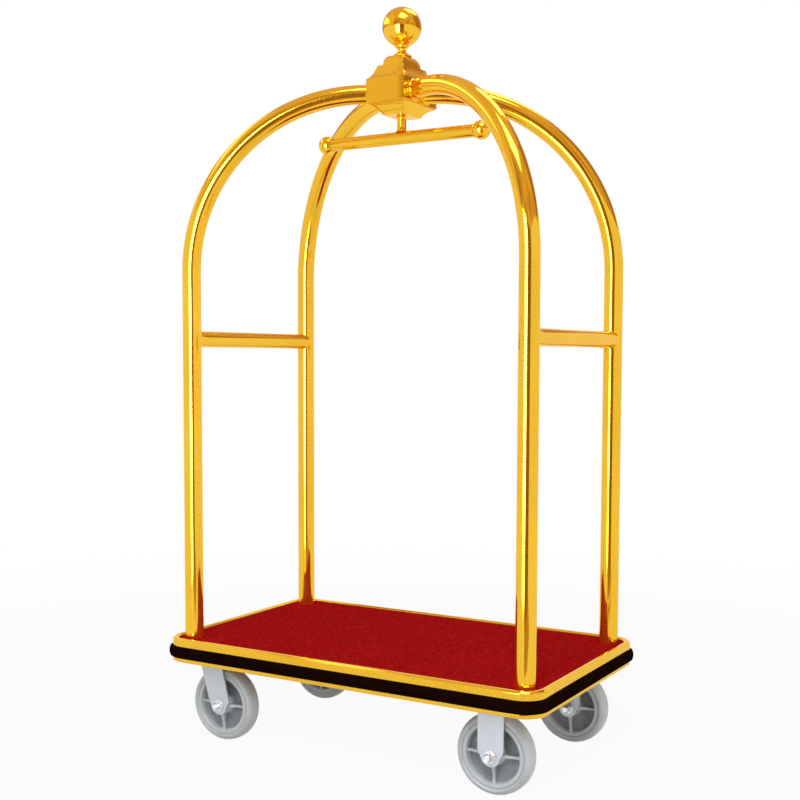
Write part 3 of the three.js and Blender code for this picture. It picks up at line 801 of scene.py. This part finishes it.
e = 0.9
keep(rect_loft("crown_box", [
    (BLOCK_X - e, BLOCK_Y - e, BLOCK_Z0), (BLOCK_X - 0.3, BLOCK_Y - 0.3, BLOCK_Z0 + 0.3), (BLOCK_X, BLOCK_Y, BLOCK_Z0 + e),
    (BLOCK_X, BLOCK_Y, BLOCK_Z0 + 22), (BLOCK_X, BLOCK_Y, BLOCK_Z1 - 22),
    (BLOCK_X, BLOCK_Y, BLOCK_Z1 - e), (BLOCK_X - 0.3, BLOCK_Y - 0.3, BLOCK_Z1 - 0.3), (BLOCK_X - e, BLOCK_Y - e, BLOCK_Z1)], GOLD_CAST), "root", "gold", "crown_block")

top = [(0.975, 1804.2, 1), (0.955, 1805.6), (0.93, 1807.6), (0.895, 1810.2), (0.862, 1813.0), (0.825, 1817.0), (0.79, 1821.6), (0.762, 1825.8),
       (0.738, 1830.0), (0.718, 1834.0), (0.704, 1837.6, 1), (0.702, 1840.6, 1), (0.697, 1841.4, 1), (0.548, 1842.6, 1), (0.540, 1844.0, 1),
       (0.535, 1848.0), (0.526, 1852.5), (0.508, 1857.2), (0.482, 1861.6), (0.445, 1865.6), (0.400, 1868.8), (0.35, 1870.8), (0.31, 1871.3, 1)]
prof = smooth_profile([(k * 100, z, *c) for k, z, *c in top], 3)
keep(rect_loft("crown_top_tier", scaled([(r / 100, z) for r, z in prof]), GOLD_CAST), "root", "gold", "crown_top_moulding")

low = [(0.535, 1713.0, 1), (0.548, 1713.8, 1), (0.560, 1716.0), (0.590, 1719.6), (0.630, 1723.4), (0.685, 1727.6), (0.745, 1731.4), (0.815, 1735.0),
       (0.880, 1737.6), (0.935, 1739.0, 1), (0.945, 1740.2, 1), (0.945, 1741.8, 1)]
prof = smooth_profile([(k * 100, z, *c) for k, z, *c in low], 3)
keep(rect_loft("crown_lower_tier", scaled([(r / 100, z) for r, z in prof]), GOLD_CAST), "root", "gold", "crown_bottom_moulding")

# turned neck: round foot, waist, cup under the ball
neck = [(0, 1871.5, 1), (25.6, 1871.5, 1), (26.8, 1872.4), (26.9, 1873.6), (25.4, 1875.2), (23.0, 1876.6), (21.6, 1878.0, 1), (20.8, 1878.6, 1), (17.6, 1880.0), (14.2, 1881.8),
        (12.2, 1884.0), (11.2, 1886.6), (11.1, 1889.0), (12.0, 1891.4), (13.8, 1893.6), (15.2, 1895.0, 1), (16.6, 1895.6, 1), (17.6, 1897.0), (18.4, 1899.0), (18.6, 1901.0, 1), (17.6, 1902.2), (0, 1902.4, 1)]
keep(lathe("finial_neck_turned", smooth_profile(neck, 3), GOLD_CAST, 72), "root", "gold", "finial_neck")

BALL_Z, BALL_R = 1950.5, 52.5
ball = [(max(0.0, BALL_R * math.sin(math.pi * i / 64)) if 0 < i < 64 else 0.0, BALL_Z - BALL_R * math.cos(math.pi * i / 64)) for i in range(65)]
keep(lathe("finial_ball_polished", ball, GOLD_CAST, 96), "root", "gold", "finial_ball")

stem = [(0, 1672.5, 1), (16.4, 1672.5, 1), (15.2, 1674.4), (13.4, 1676.2), (12.5, 1678.4, 1), (12.5, 1700.0, 1), (12.5, 1708.6, 1), (13.4, 1710.2), (15.8, 1711.8), (17.4, 1713.0, 1), (0, 1713.0, 1)]
keep(lathe("hanger_stem_turned", smooth_profile(stem, 3), GOLD_CAST, 56), "root", "gold", "hanger_stem")

RAIL_Z, RAIL_R, BALL_X, RB = 1657.0, 17.0, 241.0, 25.0
rail_pts = [(x, 0, RAIL_Z) for x in (-222.3, -220.6, -170, -120, -60, 0, 60, 120, 170, 220.6, 222.3)]
keep(tube("hanger_rail_tube", rail_pts, [(1, 0, 0)] * len(rail_pts), RAIL_R, GOLD_RAIL, n=48, side=(0, 1, 0)), "root", "gold", "hanger_rail")
for name, s in (("left", -1), ("right", 1)):
    prof = [(0, 210.0), (14.6, 210.0), (14.6, 222.3), (18.6, 222.4), (19.2, 222.9), (19.4, 223.8), (19.0, 224.7)]
    a0 = -math.acos(18.4 / RB)
    prof += [(RB * math.cos(a0 + (math.pi / 2 - a0) * i / 40), BALL_X + RB * math.sin(a0 + (math.pi / 2 - a0) * i / 40)) for i in range(0, 40)] + [(0, BALL_X + RB)]
    o = lathe("rail_ball_polished_" + name, prof, GOLD_CAST, 64, axis="X", at=(0, 0, RAIL_Z))
    if s < 0:
        o.data.transform(Matrix.Diagonal((-1, 1, 1, 1)))
        o.data.flip_normals()
    keep(o, "root", "gold", "rail_ball_" + name)

# =====================================================================================================
# deck: rim rail, bumper, carpet
# =====================================================================================================
rim = rounded([(31, 257), (48, 257), (48, 223.5), (57.6, 223.5), (60, 225.9), (60, 234.7), (52, 234.7), (52, 266.8),
               (60, 266.8), (60, 284.0), (55.0, 289.0), (48.4, 289.0), (42.6, 286.0), (42.4, 260.7), (31, 260.7)],
              [0.4, 1.5, 0.8, 1.6, 1.6, 0.7, 0.4, 0.4, 0.9, 2.6, 3.0, 3.2, 1.4, 0.4, 0.4], 4)
keep(deck_ring("rim_rail_formed", rim, GOLD_RIM, 18), "root", "gold", "rim_rail")

pad = rounded([(52.3, 235.0), (62.5, 235.0), (67.4, 238.4), (69.4, 244.4), (69.9, 250.8), (69.4, 257.2), (67.4, 263.2), (62.5, 266.6), (52.3, 266.6)],
              [0.3, 1.4, 3, 4, 4, 4, 3, 1.4, 0.3], 4)
keep(deck_ring("bumper_strip", pad, RUBBER, 18), "root", "bumper", "bumper")


def carpet_piece():
    """Short cut pile as a fine grid: cut to the rounded deck and round each post, tufts raised one by one, edges turned down."""
    hx, hy, r, pitch = 546.6, 315.6, 41.6, 2.7
    nx, ny = int(2 * hx / pitch) + 1, int(2 * hy / pitch) + 1
    xs, ys = np.linspace(-hx, hx, nx), np.linspace(-hy, hy, ny)
    X, Y = np.meshgrid(xs, ys, indexing="ij")

    def sdf(x, y):
        qx, qy = np.abs(x) - (hx - r), np.abs(y) - (hy - r)
        d = np.minimum(np.maximum(qx, qy), 0) + np.hypot(np.maximum(qx, 0), np.maximum(qy, 0)) - r
        for _, sx, sy in POSTS:
            d = np.maximum(d, 25.9 - np.hypot(x - sx * POST_X, y - sy * POST_Y))
        return d

    D = sdf(X, Y)
    keepv = D <= 0.5 * pitch
    for _ in range(3):  # points near the outline move onto it
        near = keepv & (sdf(X, Y) > -0.5 * pitch)
        h = 0.05
        gx = (sdf(X + h, Y) - sdf(X - h, Y)) / (2 * h)
        gy = (sdf(X, Y + h) - sdf(X, Y - h)) / (2 * h)
        g = np.maximum(np.hypot(gx, gy), 1e-6)
        dd = sdf(X, Y)
        X = np.where(near, X - dd * gx / g, X)
        Y = np.where(near, Y - dd * gy / g, Y)
    D = -sdf(X, Y)
    tuft = RNG.normal(0, 1, X.shape)
    soft = tuft.copy()
    for ax in (0, 1):
        soft = (np.roll(soft, 1, ax) + soft * 2 + np.roll(soft, -1, ax)) / 4
    slow = np.sin(X / 57.0 + 1.3) * np.sin(Y / 43.0) * 0.18 + np.sin(X / 23.0) * np.cos(Y / 31.0 + 0.7) * 0.10
    Z = 285.0 + np.clip(tuft * 0.26 + soft * 0.34, -0.85, 0.85) + slow
    edge = np.clip(D / 4.5, 0, 1)
    Z -= (1 - edge) ** 2 * 2.6
    idx = -np.ones(X.shape, int)
    faces_mask = keepv[:-1, :-1] & keepv[1:, :-1] & keepv[1:, 1:] & keepv[:-1, 1:]
    used = np.zeros(X.shape, bool)
    for a, b in ((0, 0), (1, 0), (1, 1), (0, 1)):
        used[a:nx - 1 + a, b:ny - 1 + b] |= faces_mask
    idx[used] = np.arange(used.sum())
    V = np.stack([X[used], Y[used], Z[used]], 1)
    F = np.stack([idx[:-1, :-1][faces_mask], idx[1:, :-1][faces_mask], idx[1:, 1:][faces_mask], idx[:-1, 1:][faces_mask]], 1)
    me = bpy.data.meshes.new("carpet_pile")
    me.from_pydata((V * MM).tolist(), [], F.tolist())
    bm = bmesh.new()
    bm.from_mesh(me)
    border = [ed for ed in bm.edges if ed.is_boundary]
    ext = bmesh.ops.extrude_edge_only(bm, edges=border)
    for g in ext["geom"]:
        if isinstance(g, bmesh.types.BMVert):
            g.co.z = 279.4 * MM
    bmesh.ops.recalc_face_normals(bm, faces=bm.faces)
    up_faces = sum(1 for f in bm.faces if f.normal.z > 0.3)
    if up_faces < len(bm.faces) / 2:
        bmesh.ops.reverse_faces(bm, faces=bm.faces)
    bm.to_mesh(me)
    bm.free()
    me.shade_smooth()
    me.materials.append(CARPET)
    o = bpy.data.objects.new("carpet_pile", me)
    bpy.context.scene.collection.objects.link(o)
    return o


carpet = keep(carpet_piece(), "root", "carpet", "carpet")

# =====================================================================================================
# wheels
# =====================================================================================================
WR = 101.6
tread = [(83.2, 21.2, 1), (83.5, 22.5), (85.0, 23.7), (87.6, 24.6), (90.6, 24.6), (93.4, 23.4), (96.0, 21.2), (98.3, 18.0), (100.0, 14.0), (101.1, 9.4), (101.55, 4.6), (101.6, 1.2, 1)]
half = smooth_profile(tread, 4)
prof = [(83.2, -21.2)] + [(r, -h) for r, h in half[1:]] + [(r, h) for r, h in half[::-1]]
tyre_master = lathe("tyre_master", prof, TYRE, 128, axis="Y", closed=True, smooth=60)

hub_prof = [(11.6, -28, 1), (22.6, -28, 1), (23.8, -27.2), (24.4, -25.5), (25.2, -18), (26.4, -9.0), (28.8, -4.8), (33.0, -3.3), (38, -3, 1), (63, -3, 1), (67.2, -3.8), (69.8, -6.8), (71.2, -12), (72.3, -20.2),
            (73.0, -22.1), (74.4, -22.9), (76.0, -23, 1), (80.0, -23, 1), (81.8, -22.7), (82.7, -21.8), (83.0, -20.6, 1)]
half = smooth_profile(hub_prof, 2)
prof = half + [(r, -h) for r, h in half[::-1]]
hub_master = lathe("hub_master", prof, HUB, 96, axis="Y", closed=True, smooth=40)
for k in range(4):
    # a rib: tall and thick at the boss, low and thin at the rim ring
    c, s = math.cos(k * math.pi / 2), math.sin(k * math.pi / 2)
    verts, faces, rows = [], [], []
    for r, hh, w in ((21.0, 24.5, 6.2), (28.0, 23.0, 5.0), (37.0, 19.8, 3.9), (49.0, 16.8, 3.3), (62.0, 15.2, 3.1), (68.5, 15.2, 4.0), (74.0, 16.0, 6.4)):
        sec = rounded([(-w, -hh), (w, -hh), (w, hh), (-w, hh)], min(1.6, w * 0.5), 3)
        rows.append(list(range(len(verts), len(verts) + len(sec))))
        for a, b in sec:
            x, z = r, a
            verts.append((x * c - z * s, b, x * s + z * c))
    for a, b in zip(rows, rows[1:]):
        for i in range(len(a)):
            faces.append([a[i], a[(i + 1) % len(a)], b[(i + 1) % len(a)], b[i]])
    faces.append(rows[0][::-1])
    faces.append(rows[-1])
    rib = new_object("rib", verts, faces, HUB, 40)
    boolean(hub_master, rib, "UNION")
hub_master.data.shade_smooth()
hub_master.data.set_sharp_from_angle(angle=math.radians(32))


def smoothstep(lo, hi, v):
    t = np.clip((v - lo) / (hi - lo), 0, 1)
    return t * t * (3 - 2 * t)


# how far each point lies down between the ribs: 0 on the outer faces, 1 on the web; the hub material paints shade into
# the hollow by this value
co = np.empty(len(hub_master.data.vertices) * 3)
hub_master.data.vertices.foreach_get("co", co)
co = co.reshape(-1, 3) / MM
rad, dep = np.hypot(co[:, 0], co[:, 2]), np.abs(co[:, 1])
inside = smoothstep(24.0, 30.0, rad) * (1 - smoothstep(72.6, 73.4, rad))
recess = inside * (1 - smoothstep(3.4, 13.0, dep))
at = hub_master.data.attributes.new("recess", "FLOAT", "POINT")
at.data.foreach_set("value", recess.astype(np.float32))

# axle hardware, built about the wheel's centre, nut towards -Y
OUT = 35.3
thread = sum([[(7.35, -OUT - 15.4 - i * 1.5), (8.0, -OUT - 16.1 - i * 1.5)] for i in range(3)], [])
bolt_parts = [lathe("b1", [(0, OUT + 1.6), (8.0, OUT + 1.6), (8.0, -OUT - 14.8)] + thread + [(7.0, -OUT - 19.6), (6.2, -OUT - 20.2), (0, -OUT - 20.2)], BRIGHT, 56, axis="Y"),
              hexagon("b2", 13.9, OUT + 2.3, OUT + 11.0, BRIGHT, axis="Y", turn=0.35, chamfer=(False, True)),
              lathe("b3", [(8.0, OUT), (15.1, OUT), (15.4, OUT + 0.3), (15.4, OUT + 2.0), (15.1, OUT + 2.3), (8.0, OUT + 2.3)], BRIGHT, 56, axis="Y", closed=True)]
bolt_master = joined("bolt_master", bolt_parts)
nut_parts = [lathe("n1", [(8.1, -OUT), (15.1, -OUT), (15.4, -OUT - 0.3), (15.4, -OUT - 2.1), (15.1, -OUT - 2.4), (8.1, -OUT - 2.4)], BRIGHT, 56, axis="Y", closed=True),
             hexagon("n2", 13.9, -OUT - 13.4, -OUT - 2.4, BRIGHT, axis="Y", turn=0.1, bore=8.1, chamfer=(True, True)),
             lathe("n3", [(9.7, -OUT - 13.0), (11.9, -OUT - 13.0), (11.9, -OUT - 15.0), (11.5, -OUT - 16.2), (10.6, -OUT - 16.8), (9.9, -OUT - 16.6), (9.7, -OUT - 16.0)], BRIGHT, 56, axis="Y", closed=True)]
nut_master = joined("nut_master", nut_parts)
ring_master = lathe("ring_master", [(8.15, -OUT - 13.4), (9.8, -OUT - 13.4), (9.8, -OUT - 16.2), (9.4, -OUT - 16.6), (8.5, -OUT - 16.5), (8.15, -OUT - 16.1)], NYLON, 56, axis="Y", closed=True)


def fork_outline(xa, xb, zt, xc, r=26.0):
    """The side view of a pressed fork leg: straight edges, one cut corner, a round foot about the axle."""
    zc = WR
    pts = [(xa, zt), (xc - 35, zc + 14)]
    a0, a1 = math.pi + 0.62, 2 * math.pi - 0.1
    pts += [(xc + r * math.cos(a0 + (a1 - a0) * i / 28), zc + r * math.sin(a0 + (a1 - a0) * i / 28)) for i in range(29)]
    pts += [(xc + 35, zc + 14), (xb, zt)]
    return pts


def fork_u(name, xa, xb, zt, xc, disc=None, plate=None):
    """A U-shaped pressing: bent section along X, trimmed by the leg's outline, with its holes."""
    section = rounded([(-35, 60), (-35, zt), (35, zt), (35, 60), (30, 60), (30, zt - 5), (-30, zt - 5), (-30, 60)], [0, 7.5, 7.5, 0, 0, 2.8, 2.8, 0], 5)
    o = prism(name, section, xa - 60, xb + 90, "X", ZINC)
    outline = fork_outline(xa, xb, zt + 0.6, xc)
    trim = prism("trim", outline, -60, 60, "Y", ZINC)
    boolean(o, trim, "INTERSECT")
    if disc:
        c = lathe("disc", [(0, zt - 5), (disc, zt - 5), (disc, zt), (0, zt)], ZINC, 64)
        boolean(o, c, "UNION")
        c = lathe("hole", [(0, zt - 9), (8.8, zt - 9), (8.8, zt + 5), (0, zt + 5)], ZINC, 40)
        boolean(o, c, "DIFFERENCE")
    if plate:
        sec = rounded([(-50, -55), (50, -55), (50, 55), (-50, 55)], 7, 5)
        p = prism("plate", sec, zt - 0.4, plate, "Z", ZINC)
        for px in (-37, 37):
            for py in (-43, 43):
                h = lathe("h", [(0, zt - 6), (4.6, zt - 6), (4.6, plate + 5), (0, plate + 5)], ZINC, 24, at=(px, py, 0))
                boolean(p, h, "DIFFERENCE")
        boolean(o, p, "UNION")
    ax = lathe("axle_hole", [(0, -60), (8.3, -60), (8.3, 60), (0, 60)], ZINC, 40, axis="Y", at=(xc, 0, WR))
    boolean(o, ax, "DIFFERENCE")
    return bevel(o, 0.7, 2, 32, 40)


swivel_master = fork_u("swivel_master", -20, 52, 221, 45, disc=36)
rigid_master = fork_u("rigid_master", -35, 35, 234, 0, plate=239.7)


def bolt_head(name, x, y, z, body="root", r=7.5, h=5.3, down=True, mat=BRIGHT, slot="bright_zinc", turn=0.0):
    """A hexagon head with its washer, seated at height z."""
    s = -1 if down else 1
    a, b = sorted((z + s * 1.6, z + s * (1.6 + h)))
    hx = hexagon(name + "h", r, a, b, mat, at=(x, y, 0), turn=turn, chamfer=(down, not down))
    w0, w1 = sorted((z, z + s * 1.6))
    wa = lathe(name + "w", [(0, w0), (r * 1.22, w0), (r * 1.27, w0 + 0.3), (r * 1.27, w1 - 0.3), (r * 1.22, w1), (0, w1)], mat, 40, at=(x, y, 0))
    return keep(joined(name, [hx, wa]), body, slot)


wheels = []
for j in frame["joints"]:
    if j["name"].endswith("_wheel_roll"):
        wheels.append((j["name"][: -len("_wheel_roll")], j["child"], j["parent"], Vector(j["pos_m"]) / MM))

for name, wheel_body, fork_body, c in wheels:
    off = (c.x, c.y, c.z)
    keep(copy_of(tyre_master, name + "_tyre_moulded", off), wheel_body, "tyre", name + "_tyre")
    keep(copy_of(hub_master, name + "_hub_ribbed", off), wheel_body, "hub", name + "_hub")
    keep(copy_of(bolt_master, name + "_axle_bolt_turned", off), fork_body, "bright_zinc", name + "_axle_bolt")
    keep(copy_of(nut_master, name + "_nyloc_nut", off), fork_body, "bright_zinc", name + "_axle_nut")
    keep(copy_of(ring_master, name + "_nylon_insert", off), fork_body, "hub")

for name, sy in (("front_left", -1), ("rear_left", 1)):
    j = [q for q in frame["joints"] if q["name"] == name + "_swivel_turn"][0]
    px, py = j["pos_m"][0] / MM, j["pos_m"][1] / MM
    keep(copy_of(swivel_master, name + "_fork_pressed", (px, py, 0)), j["child"], "zinc", name + "_swivel_fork")
    # race with a row of balls between two pressed cups
    race = [(17, 221.6, 1), (31.5, 221.6, 1), (34.4, 222.6), (35.0, 224.2), (33.6, 225.0), (33.6, 225.4), (35.0, 226.2), (34.6, 227.6), (32.0, 228.3, 1), (17, 228.3, 1)]
    keep(lathe(name + "_race_cups", smooth_profile(race, 3), BRIGHT, 72, at=(px, py, 0), closed=True), "root", "bright_zinc", name + "_ball_race")
    plate_sec = rounded([(-50, -55), (50, -55), (50, 55), (-50, 55)], 7, 5)
    p = prism(name + "_plate_pressed", plate_sec, 234, 239.7, "Z", ZINC)
    p.data.transform(Matrix.Translation((px * MM, py * MM, 0)))
    dome = lathe("dome", smooth_profile([(0, 228.6, 1), (28.5, 228.6, 1), (31.5, 229.4), (33.4, 231.4), (34.8, 233.4), (36.6, 234.6, 1), (0, 234.8, 1)], 3), ZINC, 72, at=(px, py, 0))
    boolean(p, dome, "UNION")
    bevel(p, 0.6, 2, 34, 40)
    keep(p, "root", "zinc", name + "_top_plate")
    pin = joined("pin", [lathe("pin1", [(0, 208), (7.9, 208), (7.9, 239.3), (0, 239.3)], BRIGHT, 40, at=(px, py, 0)),
                         hexagon("pin2", 13.0, 205.6, 215.2, BRIGHT, at=(px, py, 0), turn=0.1, chamfer=(True, False))])
    pin.name = name + "_kingpin_turned"
    keep(pin, "root", "bright_zinc", name + "_kingpin")
for name, sy in (("front_right", -1), ("rear_right", 1)):
    c = [w for w in wheels if w[0] == name][0][3]
    keep(copy_of(rigid_master, name + "_fork_pressed", (c.x, c.y, 0)), "root", "zinc", name + "_rigid_fork")

# plate bolts: four under each caster plate
k = 0
for name in ("front_left", "rear_left", "front_right", "rear_right"):
    node = name + ("_top_plate" if "left" in name else "_rigid_fork")
    lo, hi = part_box(node)
    cx = (lo.x + hi.x) / 2 / MM if "right" in name else [q for q in frame["joints"] if q["name"] == name + "_swivel_turn"][0]["pos_m"][0] / MM
    cy = (lo.y + hi.y) / 2 / MM
    for dx in (-38, 38):
        for dy in (-44, 44):
            k += 1
            bolt_head("plate_bolt_%02d" % k, cx + dx, cy + dy, 233.9, turn=0.37 * k)

# post bolts under the board
for i, (name, sx, sy) in enumerate(POSTS):
    x, y = sx * POST_X, sy * POST_Y
    o = joined("foot_bolt_" + name, [
        hexagon("fb1", 10.2, 250.3, 258.0, BRIGHT, at=(x, y, 0), turn=0.2 + i, chamfer=(True, False)),
        lathe("fb2", [(0, 258.0), (11.2, 258.0), (11.6, 258.4), (11.6, 260.3), (11.2, 260.7), (0, 260.7)], BRIGHT, 48, at=(x, y, 0))])
    keep(o, "root", "bright_zinc", "post_bolt_" + name)

for master in (tyre_master, hub_master, bolt_master, nut_master, ring_master, swivel_master, rigid_master):
    me = master.data
    bpy.data.objects.remove(master)
    bpy.data.meshes.remove(me)

# =====================================================================================================
# CAD nodes whose shape is right: better materials
# =====================================================================================================
for node, o in frame["nodes"].items():
    if o.hide_render:
        continue
    if node == "deck_board":
        mat = WOOD
    elif node.startswith("cross_channel"):
        mat = POWDER
    else:
        mat = BRIGHT
    o.data.materials.clear()
    o.data.materials.append(mat)
    if node.startswith("cross_channel") or node == "deck_board":
        m = o.modifiers.new("edge", "BEVEL")
        m.width, m.segments, m.limit_method = 0.0008, 2, "ANGLE"

# =====================================================================================================
# stage
# =====================================================================================================
def floor_material():
    """Pale studio floor; it brightens to white away from the cart so that no horizon shows."""
    n = Nodes("floor_white")
    t = n.t
    t.nodes.remove(n.p)
    diff = t.nodes.new("ShaderNodeBsdfDiffuse")
    n.link(n.ramp(n.noise(1.3, 3, 0.5), [(0.3, (0.915, 0.915, 0.915)), (0.7, (0.930, 0.930, 0.930))]), diff.inputs["Color"])
    em = t.nodes.new("ShaderNodeEmission")
    em.inputs["Color"].default_value = (1, 1, 1, 1)
    em.inputs["Strength"].default_value = 1.0
    mix = t.nodes.new("ShaderNodeMixShader")
    c = t.nodes.new("ShaderNodeTexCoord")
    ln = t.nodes.new("ShaderNodeVectorMath")
    ln.operation = "LENGTH"
    n.link(c.outputs["Object"], ln.inputs[0])
    mr = t.nodes.new("ShaderNodeMapRange")
    mr.interpolation_type = "SMOOTHERSTEP"
    mr.inputs["From Min"].default_value = 0.9
    mr.inputs["From Max"].default_value = 4.0
    mr.inputs["To Min"].default_value = 0.93
    n.link(ln.outputs["Value"], mr.inputs["Value"])
    n.link(mr.outputs["Result"], mix.inputs["Fac"])
    n.link(diff.outputs[0], mix.inputs[1])
    n.link(em.outputs[0], mix.inputs[2])
    n.link(mix.outputs[0], n.out.inputs["Surface"])
    return n.m


def card_material(name, low, high=None, z0=0.0, z1=1.0):
    n = Nodes(name)
    n.t.nodes.remove(n.p)
    em = n.t.nodes.new("ShaderNodeEmission")
    n.link(em.outputs[0], n.out.inputs["Surface"])
    if high is None:
        em.inputs["Color"].default_value = (*low, 1)
        return n.m
    c = n.t.nodes.new("ShaderNodeTexCoord")
    sep = n.t.nodes.new("ShaderNodeSeparateXYZ")
    n.link(c.outputs["Object"], sep.inputs[0])
    n.link(n.mix(n.remap(sep.outputs["Z"], z0, z1, 0.0, 1.0), low, high), em.inputs["Color"])
    return n.m


def stage_mesh(name, verts, faces, material, mirror_only=True):
    me = bpy.data.meshes.new(name)
    me.from_pydata(verts, [], faces)
    me.materials.append(material)
    o = bpy.data.objects.new(name, me)
    bpy.context.scene.collection.objects.link(o)
    if mirror_only:
        o.visible_camera = o.visible_shadow = o.visible_diffuse = o.visible_transmission = o.visible_volume_scatter = False
    o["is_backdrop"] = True
    return o


def wall(name, path, z0, z1, material):
    """An upright studio panel that only polished surfaces see."""
    v = [(x, y, z) for x, y in path for z in (z0, z1)]
    return stage_mesh(name, v, [(2 * i, 2 * i + 2, 2 * i + 3, 2 * i + 1) for i in range(len(path) - 1)], material)


def level(name, x0, x1, y0, y1, z, material):
    return stage_mesh(name, [(x0, y0, z), (x1, y0, z), (x1, y1, z), (x0, y1, z)], [(0, 1, 2, 3)], material)


n = 128
studio_floor = stage_mesh("studio_floor", [(0, 0, 0)] + [(40 * math.cos(2 * math.pi * k / n), 40 * math.sin(2 * math.pi * k / n), 0) for k in range(n)],
           [(0, 1 + k, 1 + (k + 1) % n) for k in range(n)], floor_material(), mirror_only=False)

studio_floor.visible_diffuse = False


def bounce_material():
    """What the floor throws back at the underside: about half of the light it gets."""
    n = Nodes("floor_bounce")
    n.t.nodes.remove(n.p)
    d = n.t.nodes.new("ShaderNodeBsdfDiffuse")
    n.link(n.ramp(n.noise(1.3, 3, 0.5), [(0.3, (0.60, 0.60, 0.60)), (0.7, (0.64, 0.64, 0.64))]), d.inputs["Color"])
    n.link(d.outputs[0], n.out.inputs["Surface"])
    return n.m


bounce = stage_mesh("floor_bounce", [(-6, -6, 0.001), (6, -6, 0.001), (6, 6, 0.001), (-6, 6, 0.001)], [(0, 1, 2, 3)], bounce_material())
bounce.visible_glossy = False
bounce.visible_diffuse = True
bounce.visible_shadow = False

world = bpy.data.worlds.new("studio")
bpy.context.scene.world = world
world.use_nodes = True
bg = [q for q in world.node_tree.nodes if q.type == "BACKGROUND"][0]
bg.inputs["Color"].default_value = (1, 1, 1, 1)
bg.inputs["Strength"].default_value = 0.55

# the white cyclorama: seen and mirrored, while the fill light comes from the world behind it
rows, cols = 24, 64
verts = [(60 * math.cos(math.radians(-12 + 102 * i / rows)) * math.cos(2 * math.pi * k / cols),
          60 * math.cos(math.radians(-12 + 102 * i / rows)) * math.sin(2 * math.pi * k / cols),
          60 * math.sin(math.radians(-12 + 102 * i / rows))) for i in range(rows) for k in range(cols)] + [(0, 0, 60)]
faces = [(i * cols + k, i * cols + (k + 1) % cols, (i + 1) * cols + (k + 1) % cols, (i + 1) * cols + k) for i in range(rows - 1) for k in range(cols)]
faces += [((rows - 1) * cols + k, (rows - 1) * cols + (k + 1) % cols, rows * cols) for k in range(cols)]
cyc = stage_mesh("white_cyclorama", verts, faces, card_material("cyclorama_white", (1.0, 1.0, 1.0)))
cyc.visible_camera = True


def room_material():
    """The unlit room over the white tent, as polished brass mirrors it: brown, uneven, paler towards the ceiling."""
    n = Nodes("room_dim")
    n.t.nodes.remove(n.p)
    em = n.t.nodes.new("ShaderNodeEmission")
    n.link(em.outputs[0], n.out.inputs["Surface"])
    c = n.t.nodes.new("ShaderNodeTexCoord")
    sep = n.t.nodes.new("ShaderNodeSeparateXYZ")
    n.link(c.outputs["Object"], sep.inputs[0])
    blot = n.noise(0.9, 2, 0.4, distortion=0.3)
    col = n.ramp(blot, [(0.36, (0.38, 0.19, 0.14)), (0.50, (0.62, 0.37, 0.28)), (0.64, (0.84, 0.61, 0.50))])
    col = n.mix(n.remap(sep.outputs["Z"], 2.4, 4.6, 0.0, 0.7), col, (0.92, 0.74, 0.64))
    side = n.math("MULTIPLY", n.remap(sep.outputs["X"], -0.45, -1.0, 0.0, 0.85), n.remap(sep.outputs["Y"], 0.2, -0.8, 0.0, 1.0))
    col = n.mix(side, col, (0.88, 0.74, 0.62))
    corner = n.math("MULTIPLY", n.remap(sep.outputs["X"], 0.4, 1.0, 0.0, 0.85), n.remap(sep.outputs["Y"], 0.6, 1.4, 0.0, 1.0))
    col = n.mix(corner, col, (0.34, 0.16, 0.11))
    n.link(col, em.inputs["Color"])
    return n.m


# what the polished brass mirrors: a white tent up to 2.1 m, the dim room over it, an open gap beside the front
# softbox, and two ceiling softboxes
ROOM = room_material()
wall("room_walls", [(2.2, -2.2), (2.2, 2.0), (0.2, 2.6), (-1.6, 2.0), (-1.6, -2.2), (0.68, -2.2)], 2.12, 4.6, ROOM)
wall("room_walls_front", [(0.68, -2.2), (2.2, -2.2)], 2.12, 4.6, ROOM)
level("room_ceiling", -1.6, 2.2, -2.2, 2.6, 4.6, card_material("room_ceiling", (0.80, 0.58, 0.47)))
wall("gap_front", [(0.70, -2.2), (2.08, -2.2)], 0.0, 2.12, card_material("gap_dark", (0.25, 0.098, 0.085)))
level("gap_floor", 0.70, 2.2, -3.0, -1.3, 0.004, card_material("gap_floor_dark", (0.52, 0.30, 0.26)))
wall("strip_front", [(-0.30, -2.15), (0.57, -2.15)], 0.10, 2.08, card_material("strip_light", (6.0, 6.0, 6.0), (9.5, 9.9, 16.5), 0.35, 0.60))
wall("rim_light", [(-1.56, -1.3), (-1.56, 0.6)], 2.40, 3.05, card_material("rim_light", (1.9, 1.9, 1.8)))
level("strip_flag", -1.3, 1.3, -0.54, -0.42, 0.25, card_material("flag_white", (1.0, 1.0, 1.0)))
level("ceiling_box_front", 0.25, 1.9, -3.0, -0.55, 4.2, card_material("ceiling_light_front", (6.0, 6.0, 6.2)))
level("ceiling_box_back", -0.2, 0.8, 0.5, 3.0, 3.9, card_material("ceiling_light_back", (3.6, 3.6, 3.6)))


def softbox(name, at, look, w, h, radiance):
    ld = bpy.data.lights.new(name, "AREA")
    ld.shape = "RECTANGLE"
    ld.size, ld.size_y = w, h
    ld.energy = radiance * math.pi * w * h
    o = bpy.data.objects.new(name, ld)
    bpy.context.scene.collection.objects.link(o)
    o.location = at
    o.rotation_mode = "QUATERNION"
    o.rotation_quaternion = (Vector(look) - Vector(at)).to_track_quat("-Z", "Y")
    o.visible_camera = o.visible_glossy = False
    return o


softbox("key_top", (1.1, -2.9, 3.7), (0, 0, 0.5), 1.7, 1.5, 7.2)
softbox("side_low", (3.6, -1.3, 0.75), (0.45, 0.0, 0.10), 1.1, 0.6, 9.0)

bpy.context.scene.view_settings.view_transform = "Standard"
bpy.context.scene.view_settings.look = "None"

lo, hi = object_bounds()
